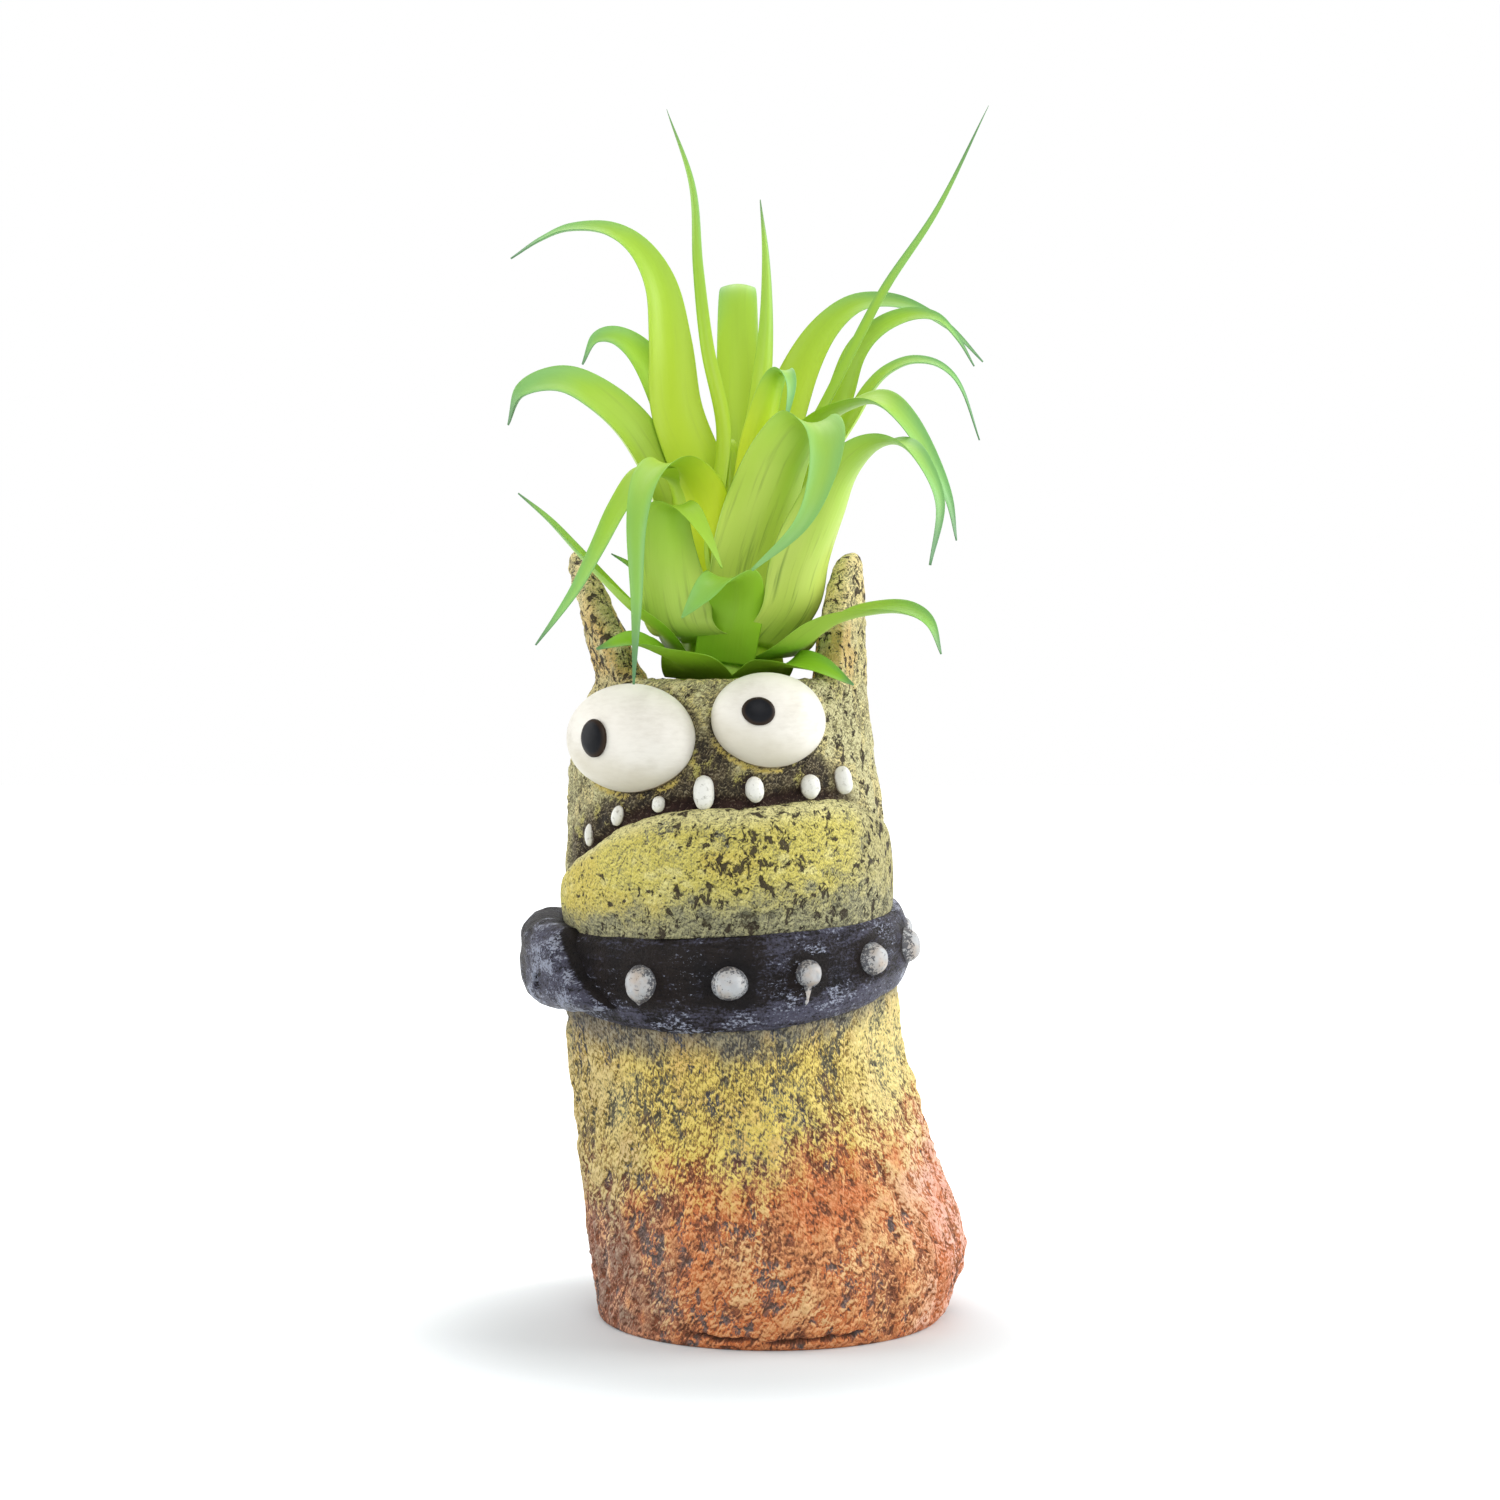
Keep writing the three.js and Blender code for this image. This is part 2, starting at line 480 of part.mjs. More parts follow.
// The strap's free end: it lies on the collar, its front is cut on a slant and its lower edge tucks up there.
function makeTongue() {
  const rows = steps(6).map((share) => 2 * share - 1);
  const seat = collarStand(0) + SEAT_GAP;
  const sections = steps(14).map((share) => {
    const thin = 1 - 0.35 * Math.max(2 * share - 1, 0) ** 3;
    const pointAt = (row, face) => {
      const turn = THREE.MathUtils.lerp(TONGUE_START, TONGUE_END - TONGUE_SLANT * row, share);
      const swell = tongueSwell(turn);
      const half = THREE.MathUtils.lerp(TONGUE_NECK_WIDTH, TONGUE_WIDTH, swell) / 2;
      const thick = THREE.MathUtils.lerp(TONGUE_NECK_THICK, TONGUE_THICK, swell) * (1 - 0.5 * row ** 4) * thin;
      const tuck = TONGUE_TUCK * Math.max(-row, 0) * share ** 4;
      return potPoint(turn, collarMiddle(turn) + row * half + tuck, seat + face * thick);
    };
    return [...rows.map((row) => pointAt(row, 0)), ...rows.map((row) => pointAt(row, 1)).reverse()];
  });
  return loft(sections);
}

// A block that follows the collar between two turns, through points of rise along it and stand off the pot.
function collarBlock(outline, start, end) {
  const sections = steps(6).map((share) => {
    const turn = THREE.MathUtils.lerp(start, end, share);
    return outline.map(([rise, stand]) => potPoint(turn, collarMiddle(turn) + rise, stand));
  });
  return loft(sections);
}

// The loop that holds the tongue down: it arches over it and reaches the pot above and below the collar.
function addKeeper(group) {
  const inside = Math.max(collarHalf(KEEPER_START), collarHalf(KEEPER_END), TONGUE_NECK_WIDTH / 2) + SEAT_GAP;
  const outside = inside + KEEPER_THICK;
  const crest = collarStand(0) + TONGUE_NECK_THICK + 2 * SEAT_GAP;
  const top = crest + KEEPER_THICK;
  const arch = [[-outside, SEAT_GAP], [outside, SEAT_GAP], [outside, crest], [inside, top], [-inside, top],
    [-outside, crest]];
  const passage = [[-inside, -SEAT_GAP], [inside, -SEAT_GAP], [inside, crest], [-inside, crest]];
  const keeper = addMesh(group, "collar_keeper", collarBlock(arch, KEEPER_START, KEEPER_END), COLLAR_BLACK);
  return carve(keeper, [solidOf(collarBlock(passage, KEEPER_START - 5, KEEPER_END + 5))]);
}

function makeFoam() {
  const heights = steps(6).map((share) => THREE.MathUtils.lerp(FLOOR + SEAT_GAP, FOAM_TOP, share));
  const rings = heights.map((height) =>
    turnsRound(POT_SEGMENTS / 2).map((turn) => potPoint(turn, height, -WALL - 2 * SEAT_GAP)),
  );
  return loft(rings);
}

// The core's outline: stem, shoulder on the foam, widest at the rim, then a taper to the tip.
const CORE_OUTLINE = [
  new THREE.Vector2(0, -FOAM_DROP - STEM_DEPTH),
  new THREE.Vector2(STEM_RADIUS * 0.7, -FOAM_DROP - STEM_DEPTH),
  new THREE.Vector2(STEM_RADIUS, -FOAM_DROP - STEM_DEPTH + STEM_RADIUS),
  new THREE.Vector2(STEM_RADIUS, -FOAM_DROP + SEAT_GAP),
  new THREE.Vector2(CORE_SHOULDER_RADIUS, -FOAM_DROP + SEAT_GAP),
  new THREE.Vector2(CORE_RADIUS, 0),
  new THREE.Vector2(CORE_MIDDLE_RADIUS, CORE_MIDDLE_HEIGHT),
  new THREE.Vector2(CORE_TIP_RADIUS, CORE_HEIGHT - CORE_TIP_RADIUS),
  new THREE.Vector2(0, CORE_HEIGHT),
];

function makeCore(grow) {
  const outline = CORE_OUTLINE.map((p) => new THREE.Vector2(p.x && p.x + grow, p.y));
  outline.at(-1).y += grow;
  return new THREE.LatheGeometry(outline, 20).rotateX(Math.PI / 2);
}

function coreRadius(height) {
  const upper = height > CORE_MIDDLE_HEIGHT;
  const [low, high] = upper ? CORE_OUTLINE.slice(6, 8) : CORE_OUTLINE.slice(5, 7);
  return THREE.MathUtils.mapLinear(height, low.y, high.y, low.x, high.x);
}

// A leaf: a cupped blade along its midrib, swollen by a grow allowance. Its width rises from the foot and
// runs out at the tip, and its edges lift towards the upper face.
function makeLeaf(leaf, grow) {
  const azimuth = THREE.MathUtils.degToRad(leaf.azimuth);
  const out = new THREE.Vector3(Math.cos(azimuth), Math.sin(azimuth), 0);
  const seatSide = new THREE.Vector3(-out.y, out.x, 0);
  const standoff = coreRadius(leaf.seat) + SEAT_GAP + LEAF_THICK / 2;
  const foot = out.clone().multiplyScalar(standoff).setZ(leaf.seat);
  const midrib = new THREE.CatmullRomCurve3(
    [foot, ...leaf.spine.map((p) => new THREE.Vector3(...p))], false, "catmullrom", 0.5);
  const reach = midrib.points.at(-1).clone().sub(foot).setZ(0).normalize();
  const tipSide = new THREE.Vector3(-reach.y, reach.x, 0);
  const rows = steps(leaf.width > 6.5 ? 4 : 2).map((share) => 2 * share - 1);
  const stations = steps(Math.max(LEAF_STEPS, leaf.spine.length + 4));
  const sections = stations.map((share) => {
    const along = midrib.getTangent(share);
    const level = seatSide.clone().lerp(tipSide, share);
    const across = level.addScaledVector(along, -level.dot(along)).normalize();
    const upper = along.clone().cross(across);
    const rise = THREE.MathUtils.smoothstep(share, 0, 0.3);
    const opening = leaf.foot + (1 - leaf.foot) * rise;
    const taper = LEAF_TIP + (1 - LEAF_TIP) * (1 - share ** leaf.taper);
    const half = (leaf.width / 2) * opening * taper;
    const thick = LEAF_THICK * (0.45 + 0.55 * taper);
    const beyond = (2 * share - 1) * (share % 1 ? 0 : grow);
    const pointAt = (row, face) => {
      const aside = row * (half + grow);
      const lift = (LEAF_CUP * rise * aside * aside) / half;
      const skin = face * ((thick / 2) * (1 - (1 - LEAF_EDGE) * row * row) + grow);
      return midrib.getPoint(share)
        .addScaledVector(along, beyond)
        .addScaledVector(across, aside)
        .addScaledVector(upper, lift + skin);
    };
    return [...rows.map((row) => pointAt(row, -1)), ...rows.map((row) => pointAt(row, 1)).reverse()];
  });
  return loft(sections);
}

const planter = new THREE.Group();
const pot = new THREE.Group();
const plant = new THREE.Group();
plant.position.set(RIM_SHIFT, 0, POT_HEIGHT);
planter.add(pot, plant);

// Pot and face
const potSeat = swollenPot(SEAT_GAP);
const jawSeat = solidOf(makeJaw(SEAT_GAP));
const collarSeat = solidOf(makeCollar(SEAT_GAP));

carve(addMesh(pot, "pot_body", makePotBody(), CLAY), [solidOf(makeMouthGroove())]);
addMesh(pot, "lower_jaw", makeJaw(0), CLAY);

const eyeSeats = EYES.map((eye) => {
  const { across, tall, deep, pupil } = eye;
  const ball = addMesh(pot, `${eye.name}_eye`, ellipsoid(across, tall, deep, 24), EYE_WHITE);
  standOnPot(ball, eye.turn, POT_HEIGHT - eye.drop, EYE_STAND, eye.tilt);
  ball.updateWorldMatrix(true, false);
  const swollen = ellipsoid(across + SEAT_GAP, tall + SEAT_GAP, deep + SEAT_GAP, 24);
  const seat = solidOf(swollen, ball.matrixWorld);
  const aim = THREE.MathUtils.degToRad(pupil.aim);
  const lift = THREE.MathUtils.degToRad(pupil.lift);
  const radii = new THREE.Vector3(across, tall, deep);
  const look = new THREE.Vector3(Math.sin(aim), Math.sin(lift), Math.cos(aim) * Math.cos(lift));
  const spot = look.clone().multiply(radii);
  const facing = look.clone().divide(radii).normalize();
  const disc = addMesh(ball, `${eye.name}_pupil`,
    ellipsoid(pupil.across, pupil.tall, SEAT_GAP + PUPIL_RISE, 16), PUPIL_BLACK);
  disc.position.copy(spot);
  disc.quaternion.setFromUnitVectors(new THREE.Vector3(0, 0, 1), facing);
  carve(disc, [seat]);
  carve(ball, [potSeat]);
  return seat;
});

TEETH.forEach((tooth, i) => {
  const shape = ellipsoid(tooth.across, tooth.tall, TOOTH_DEEP, 12);
  const peg = addMesh(pot, `tooth_${i + 1}`, shape, TOOTH_WHITE);
  standOnPot(peg, tooth.turn, POT_HEIGHT - tooth.drop, TOOTH_STAND, tooth.lean);
  carve(peg, [potSeat, jawSeat, ...eyeSeats]);
});

// Collar
addMesh(pot, "collar_strap", makeCollar(0), COLLAR_BLACK);
addMesh(pot, "collar_tongue", makeTongue(), COLLAR_BLACK);
addKeeper(pot);
const lastStudTurn = 360 + TONGUE_START - LAST_STUD_MARGIN;
for (let i = 0; i < STUD_COUNT; i += 1) {
  const turn = THREE.MathUtils.lerp(FIRST_STUD_TURN, lastStudTurn, i / (STUD_COUNT - 1));
  const shape = ellipsoid(STUD_RADIUS, STUD_RADIUS, STUD_RADIUS, 12);
  const stud = addMesh(pot, `collar_stud_${i + 1}`, shape, STUD_GREY);
  standOnPot(stud, turn, collarMiddle(turn), collarStand(0) + STUD_STAND);
  carve(stud, [collarSeat]);
}

// Foam and plant
const stemHole = new THREE.CylinderGeometry(
  STEM_RADIUS + STEM_CLEARANCE, STEM_RADIUS + STEM_CLEARANCE, 2 * (STEM_DEPTH + STEM_CLEARANCE), 24);
const stemSpace = solidOf(stemHole.rotateX(Math.PI / 2).translate(RIM_SHIFT, 0, FOAM_TOP));
carve(addMesh(pot, "planting_foam", makeFoam(), FOAM_GREY), [stemSpace]);

const core = addMesh(plant, "plant_core", makeCore(0), LEAF_GREEN);
core.updateWorldMatrix(true, false);
const coreSeat = solidOf(makeCore(SEAT_GAP), core.matrixWorld);

// Each leaf gives way to the core and to the leaves that were seated before it
const leafSeats = [coreSeat];
for (const leaf of LEAVES) {
  const blade = addMesh(plant, `leaf_${leaf.name}`, makeLeaf(leaf, 0), LEAF_GREEN);
  carve(blade, leafSeats);
  leafSeats.push(solidOf(makeLeaf(leaf, SEAT_GAP), blade.matrixWorld));
}

export default planter;
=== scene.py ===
"""The monster planter's looks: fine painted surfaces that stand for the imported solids.

Lengths are millimetres until a mesh is made. +Z is up and the face looks along -Y.
A turn is an angle round the pot in degrees: 0 at the face, 90 towards +X.
"""
import logging
import math
from dataclasses import dataclass, field
from enum import Enum
from itertools import product
from typing import Any, Optional

import bpy
import numpy as np
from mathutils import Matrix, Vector


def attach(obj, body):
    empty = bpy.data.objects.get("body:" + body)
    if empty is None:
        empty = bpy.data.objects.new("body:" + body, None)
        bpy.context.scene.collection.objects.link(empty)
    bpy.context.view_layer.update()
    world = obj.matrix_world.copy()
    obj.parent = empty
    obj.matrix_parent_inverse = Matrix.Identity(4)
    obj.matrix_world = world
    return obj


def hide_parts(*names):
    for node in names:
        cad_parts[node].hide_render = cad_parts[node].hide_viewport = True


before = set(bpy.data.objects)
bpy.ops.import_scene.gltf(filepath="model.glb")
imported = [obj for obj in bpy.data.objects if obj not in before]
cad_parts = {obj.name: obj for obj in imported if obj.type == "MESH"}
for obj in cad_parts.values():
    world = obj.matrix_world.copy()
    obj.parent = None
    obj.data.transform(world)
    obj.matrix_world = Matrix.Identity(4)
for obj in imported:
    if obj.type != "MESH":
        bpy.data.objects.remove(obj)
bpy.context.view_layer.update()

Array = np.ndarray
Colour = tuple[float, float, float]
Point = tuple[float, float, float]
Span = tuple[float, float]
Lane = dict[str, Array]
Material = bpy.types.Material

MM = 0.001
LOG = logging.getLogger("monster_planter")


class Body(str, Enum):
    """The bodies of the model that a piece can ride on."""

    POT = "pot"
    PLANT = "plant"


class Slot(str, Enum):
    """The record's finishes."""

    CLAY = "painted_clay"
    EYE = "eye_white"
    PUPIL = "pupil_black"
    TOOTH = "tooth_white"
    COLLAR = "collar_black"
    STUD = "stud_grey"
    FOAM = "foam_grey"
    LEAF = "leaf_green"


def tint(code: str) -> Colour:
    """The linear light of a screen colour of six hex digits, by the usual curve with a straight foot."""
    shares = [int(code[i:i + 2], 16) / 255 for i in (0, 2, 4)]
    return tuple(s / 12.92 if s <= 0.04045 else ((s + 0.055) / 1.055) ** 2.4 for s in shares)


def ease(value: Array, low: float, high: float) -> Array:
    """A smooth step that is 0 at low and 1 at high, by 3t^2 - 2t^3; low may be above high."""
    share = np.clip((np.asarray(value, float) - low) / (high - low), 0, 1)
    return share * share * (3 - 2 * share)


def blend(first: Any, second: Any, share: Any) -> Array:
    """Colours moved from first towards second by a share for each point."""
    start = np.asarray(first, float)
    return start + (np.asarray(second, float) - start) * np.asarray(share)[..., None]


def opaque(colours: Array) -> Array:
    """Colours with a full alpha lane."""
    return np.concatenate([colours, np.ones(colours.shape[:-1] + (1,))], -1)


def even(values: Array, where: Array) -> Array:
    """Values moved and scaled so that those at the places where have a mean of 0 and a spread of 1."""
    return (values - values[where].mean()) / values[where].std()


def turns_round(count: int) -> Array:
    """Turns all round, from the back to the back."""
    return -180 + 360 * np.arange(count) / count


def rows_across(count: int) -> Array:
    """Places from -1 to 1, spaced as a sine so that they crowd at both edges."""
    return np.sin(np.linspace(-np.pi / 2, np.pi / 2, count))


def unit(vectors: Array) -> Array:
    """Vectors scaled to a length of 1 along their last axis."""
    return vectors / np.linalg.norm(vectors, axis=-1, keepdims=True)


def smooth_along(keys: tuple[float, ...], values: tuple[float, ...], place: Array) -> Array:
    """A smooth value along sorted stations, on cubic Hermite curves that pass each station.

    Args:
        keys: where the stations are.
        values: the value at each station; its slope is that of the line through its two neighbours.
        place: where the value is wanted.

    Returns:
        The value at each place.
    """
    key, value = np.asarray(keys, float), np.asarray(values, float)
    before, after = np.r_[0, np.arange(len(key) - 1)], np.r_[np.arange(1, len(key)), len(key) - 1]
    slope = (value[after] - value[before]) / (key[after] - key[before])
    right = np.clip(np.searchsorted(key, place), 1, len(key) - 1)
    left = right - 1
    span = key[right] - key[left]
    t = np.clip((place - key[left]) / span, 0, 1)
    start = (1 + 2 * t) * (1 - t) ** 2 * value[left] + t * (1 - t) ** 2 * span * slope[left]
    end = t * t * (3 - 2 * t) * value[right] + t * t * (t - 1) * span * slope[right]
    return start + end


class Grain:
    """Repeatable noise on a lattice of cells, worked out on whole arrays of points."""

    ODD = np.array((73856093, 19349663, 83492791))
    SEED_STEP = 40503
    STIRS = ((15, 2246822519), (13, 3266489917))
    LAST_SHIFT = np.uint64(16)
    WORD = 2 ** 32
    STEP = 13.7

    @staticmethod
    def lattice(cell: Array, seed: int) -> Array:
        """A number for each cell of a lattice.

        Args:
            cell: whole indices along three axes.
            seed: picks the pattern.

        Returns:
            Numbers from 0 to 1: the indices times odd numbers, stirred twice by a shift and a product.
        """
        mixed = np.bitwise_xor.reduce(cell.astype(np.int64) * Grain.ODD, axis=-1) ^ seed * Grain.SEED_STEP
        word = (mixed & Grain.WORD - 1).astype(np.uint64)
        for shift, factor in Grain.STIRS:
            word = (word ^ (word >> np.uint64(shift))) * np.uint64(factor) & np.uint64(Grain.WORD - 1)
        return (word ^ (word >> Grain.LAST_SHIFT)).astype(float) / Grain.WORD

    @staticmethod
    def smooth(points: Array, seed: int) -> Array:
        """Value noise.

        Args:
            points: places, in cells.
            seed: picks the pattern.

        Returns:
            Numbers from -1 to 1: those of the cell's eight corners, mixed by a quintic fade.
        """
        base = np.floor(points)
        part = points - base
        fade = part ** 3 * (part * (part * 6 - 15) + 10)
        total = np.zeros(points.shape[:-1])
        for corner in product((0, 1), repeat=3):
            weight = np.prod(np.where(corner, fade, 1 - fade), axis=-1)
            total += weight * Grain.lattice(base + corner, seed)
        return 2 * total - 1

    @staticmethod
    def rough(points: Array, octaves: int, seed: int) -> Array:
        """Octaves of value noise, each half as large and half as strong as the one before."""
        layers = [Grain.smooth(points * 2 ** k + Grain.STEP * k, seed + k) / 2 ** k for k in range(octaves)]
        return sum(layers) / (2 - 2 ** (1 - octaves))

    @staticmethod
    def pits(points: Array, share: float, seed: int) -> Array:
        """Round pits, one in a share of the cells, each as deep as 1 in its middle.

        Args:
            points: places, in cells.
            share: the share of cells that hold a pit.
            seed: picks the pattern.

        Returns:
            Depth from 0 to 1: one minus the distance to the nearest pit's middle over its radius, eased.
        """
        base = np.floor(points)
        depth = np.zeros(points.shape[:-1])
        for offset in product((-1, 0, 1), repeat=3):
            cell = base + offset
            spot = cell + np.stack([Grain.lattice(cell, seed + k) for k in range(3)], -1)
            mark = Grain.lattice(cell, seed + 3)
            reach = np.where(mark < share, 0.25 + 0.4 * mark / share, 1e-6)
            away = np.linalg.norm(points - spot, axis=-1)
            depth = np.maximum(depth, ease(away / reach, 1, 0))
        return depth


@dataclass(frozen=True)
class Ear:
    """A stretch of the wall that stands above the rim: its turn, half spread, height, flare and bluntness."""

    turn: float
    spread: float
    height: float
    flare: float
    blunt: float


@dataclass(frozen=True)
class PotForm:
    """The pot's plain form, which every piece on it is placed by."""

    heights: tuple[float, ...] = (0, 13, 30, 50, 73.4, 102, 111)
    radii: tuple[float, ...] = (30, 32.8, 30.7, 28.8, 28.2, 25.9, 23.2)
    shifts: tuple[float, ...] = (0, 1.3, -2.6, -6.2, -7.4, -8.3, -6.7)
    ears: tuple[Ear, Ear] = (Ear(-90, 36, 22, 5.4, 1.6), Ear(90, 39, 22, -0.4, 5))
    ear_end: float = 1.3
    ear_corner: float = 0.012
    lip_turns: tuple[float, ...] = (-84, -65, -48, -34, -18, 10, 30, 48, 57, 68, 84, 102)
    lip_drops: tuple[float, ...] = (36.5, 31.4, 27.6, 24, 22, 21.4, 20.2, 20.3, 20.9, 22.9, 25.4, 31)
    mouth: Span = (-65, 54)
    rim: float = 111
    brow: float = 102
    wall: float = 5
    ear_wall: float = 3.6
    floor: float = 8
    mean_radius: float = 30
    collar_height: float = 64.3
    collar_tilt: float = 1.5
    collar_sag: float = 3.5
    collar_front: float = 8
    collar_side: float = 6.3
    collar_thick: float = 2.6
    gap: float = 0.3

    def radius(self, height: Array) -> Array:
        """Radius of the round section at a height."""
        return smooth_along(self.heights, self.radii, np.minimum(height, self.rim))

    def shift(self, height: Array) -> Array:
        """How far the section's middle is moved along X at a height."""
        return smooth_along(self.heights, self.shifts, np.minimum(height, self.rim))

    def nearest_ear(self, turn: Array) -> tuple[Array, Array, Array, Array]:
        """The ear that is nearest to each turn.

        Args:
            turn: angles round the pot.

        Returns:
            Across, which is 0 in the ear's middle and 1 at its edge, and its height, flare and bluntness.
        """
        apart = [np.abs((turn - ear.turn + 540) % 360 - 180) / ear.spread for ear in self.ears]
        first = apart[0] <= apart[1]
        kinds = ("height", "flare", "blunt")
        height, flare, blunt = (np.where(first, *(getattr(ear, kind) for ear in self.ears)) for kind in kinds)
        return np.where(first, *apart), height, flare, blunt

    def top(self, turn: Array) -> Array:
        """Height of the rim.

        Args:
            turn: angles round the pot.

        Returns:
            The low rim, plus an ear's height times 1 - across^blunt with its corner rounded by a root.
        """
        across, height, _, blunt = self.nearest_ear(turn)
        share = 1 - np.minimum(across, self.ear_end) ** blunt
        rounded = 0.5 * (share + np.sqrt(share * share + self.ear_corner))
        inside = np.where(across < self.ear_end, rounded, 0)
        return self.rim + height * inside * ease(across, self.ear_end, 1.0)

    def point(self, turn: Any, height: Any, offset: Any) -> Array:
        """Points by the pot's outside.

        Args:
            turn: angles round the pot.
            height: heights above the table.
            offset: how far out they stand.

        Returns:
            The middle's shift plus the radius along each turn; above the rim it follows the ear's flare.
        """
        angle = np.radians(turn)
        _, tall, flare, _ = self.nearest_ear(turn)
        radius = self.radius(height) + flare * np.maximum(height - self.rim, 0) / tall + offset
        x = self.shift(height) + radius * np.sin(angle)
        return np.stack(np.broadcast_arrays(x, -radius * np.cos(angle), height), -1)

    def wall_at(self, turn: Array, height: Array) -> Array:
        """Thickness of the wall, thinner towards an ear's tip."""
        _, tall, _, _ = self.nearest_ear(turn)
        return self.wall + (self.ear_wall - self.wall) * np.clip((height - self.rim) / tall, 0, 1)

    def lip(self, turn: Array) -> Array:
        """Height of the lower lip's edge at a turn."""
        return self.rim - smooth_along(self.lip_turns, self.lip_drops, turn)

    def collar(self, turn: Any) -> Any:
        """Height of the collar's middle line: it dips at the face and towards the strap end."""
        angle = np.radians(turn)
        return self.collar_height + self.collar_tilt * np.sin(angle) - self.collar_sag * np.cos(angle)

    def collar_half(self, turn: Array) -> Array:
        """Half the collar's width, which narrows towards both sides by the square of the turn's sine."""
        return self.collar_front + (self.collar_side - self.collar_front) * np.sin(np.radians(turn)) ** 2

    def from_axis(self, points: Array) -> Array:
        """Level vectors from the pot's middle line to points."""
        height = points[..., 2]
        return points - np.stack([self.shift(height), height * 0, height], -1)

    def clearance(self, points: Array) -> Array:
        """How far points stand out from the pot's outside."""
        height = points[..., 2]
        return np.hypot(points[..., 0] - self.shift(height), points[..., 1]) - self.radius(height)

    def axes(self, turn: float, height: float, offset: float, tilt: float) -> tuple[Array, Array]:
        """Place and axes of a thing that stands on the pot.

        Args:
            turn: angle round the pot.
            height: height above the table.
            offset: how far out it stands.
            tilt: turn about its own outward axis, in degrees.

        Returns:
            Its middle, and rows of its across, up and out directions.
        """
        angle, lean = math.radians(turn), math.radians(tilt)
        across = np.array([math.cos(angle), math.sin(angle), 0])
        out = np.array([math.sin(angle), -math.cos(angle), 0])
        up = np.array([0, 0, 1.0])
        tilted = across * math.cos(lean) + up * math.sin(lean)
        raised = up * math.cos(lean) - across * math.sin(lean)
        return self.point(turn, height, offset), np.array([tilted, raised, out])


FORM = PotForm()


def grid_normals(grid: Array, closed_rows: bool = False) -> Array:
    """Normals of a grid whose columns run round.

    Args:
        grid: rows by columns by 3.
        closed_rows: the last row joins the first.

    Returns:
        Unit vectors: the cross product of the grid's two central differences.
    """
    round_step = np.roll(grid, -1, 1) - np.roll(grid, 1, 1)
    along = np.roll(grid, -1, 0) - np.roll(grid, 1, 0) if closed_rows else np.gradient(grid, axis=0)
    normal = np.cross(round_step, along)
    return normal / (np.linalg.norm(normal, axis=-1, keepdims=True) + 1e-12)


def outward_normals(grid: Array, face: Any, closed_rows: bool = False) -> Array:
    """Normals of a grid round the pot, turned so that those of its outer face look outwards."""
    normal = grid_normals(grid, closed_rows)
    return normal * np.sign((normal * FORM.from_axis(grid)).sum(-1)[face].mean())


def volume_of(grid: Array) -> float:
    """Six times the signed volume inside a grid, for telling in from out.

    Args:
        grid: rows by columns by 3, closed both ways.

    Returns:
        The sum of triple products over both triangles of each cell.
    """
    middle = grid - grid.reshape(-1, 3).mean(0)
    right, above = np.roll(middle, -1, 1), np.roll(middle, -1, 0)
    corner = np.roll(right, -1, 0)
    cells = np.cross(middle, right) * corner + np.cross(middle, corner) * above
    return float(cells.sum())


def weld(name: str, grid: Array, lanes: Lane, closed_rows: bool = False) -> bpy.types.Object:
    """Makes a closed mesh from a grid of points.

    Args:
        name: the piece's name.
        grid: rows by columns by 3, in millimetres; columns run round and close on themselves.
        lanes: named values for each point: a number, a vector or a colour.
        closed_rows: the last row joins the first, so no fan closes the ends.

    Returns:
        The object, at the origin, with its faces outwards.
    """
    rows, columns = grid.shape[:2]
    index = np.arange(rows * columns).reshape(rows, columns)
    ring = index if not closed_rows else np.vstack([index, index[:1]])
    side = np.roll(ring, -1, 1)
    quads = np.stack([ring[:-1], side[:-1], side[1:], ring[1:]], -1).reshape(-1, 4)
    points = grid.reshape(-1, 3)
    fans = np.zeros((0, 3), int)
    extra = {key: value.reshape(rows * columns, -1) for key, value in lanes.items()}
    if not closed_rows:
        hubs = np.stack([grid[0].mean(0), grid[-1].mean(0)])
        hub = rows * columns
        first = np.stack([np.full(columns, hub), side[0], ring[0]], -1)
        last = np.stack([np.full(columns, hub + 1), ring[-1], side[-1]], -1)
        fans = np.vstack([first, last])
        points = np.vstack([points, hubs])
        extra = {key: np.vstack([v, v[:columns].mean(0), v[-columns:].mean(0)]) for key, v in extra.items()}
    if volume_of(grid if closed_rows else np.vstack([grid, grid[-1:], grid[:1]])) < 0:
        quads, fans = quads[:, ::-1], fans[:, ::-1]
    corners = np.concatenate([quads.ravel(), fans.ravel()]).astype(np.int32)
    sizes = np.r_[np.full(len(quads), 4), np.full(len(fans), 3)].astype(np.int32)
    mesh = bpy.data.meshes.new(name)
    mesh.vertices.add(len(points))
    mesh.vertices.foreach_set("co", (points * MM).astype(np.float32).ravel())
    mesh.loops.add(len(corners))
    mesh.loops.foreach_set("vertex_index", corners)
    mesh.polygons.add(len(sizes))
    mesh.polygons.foreach_set("loop_start", np.r_[0, np.cumsum(sizes)[:-1]].astype(np.int32))
    mesh.polygons.foreach_set("use_smooth", np.ones(len(sizes), bool))
    kinds = {1: ("FLOAT", "value"), 3: ("FLOAT_VECTOR", "vector"), 4: ("FLOAT_COLOR", "color")}
    for key, value in extra.items():
        kind, slot = kinds[value.shape[1]]
        mesh.attributes.new(key, kind, "POINT").data.foreach_set(slot, value.astype(np.float32).ravel())
    mesh.update(calc_edges=True)
    mesh.validate()
    piece = bpy.data.objects.new(name, mesh)
    bpy.context.scene.collection.objects.link(piece)
    return piece


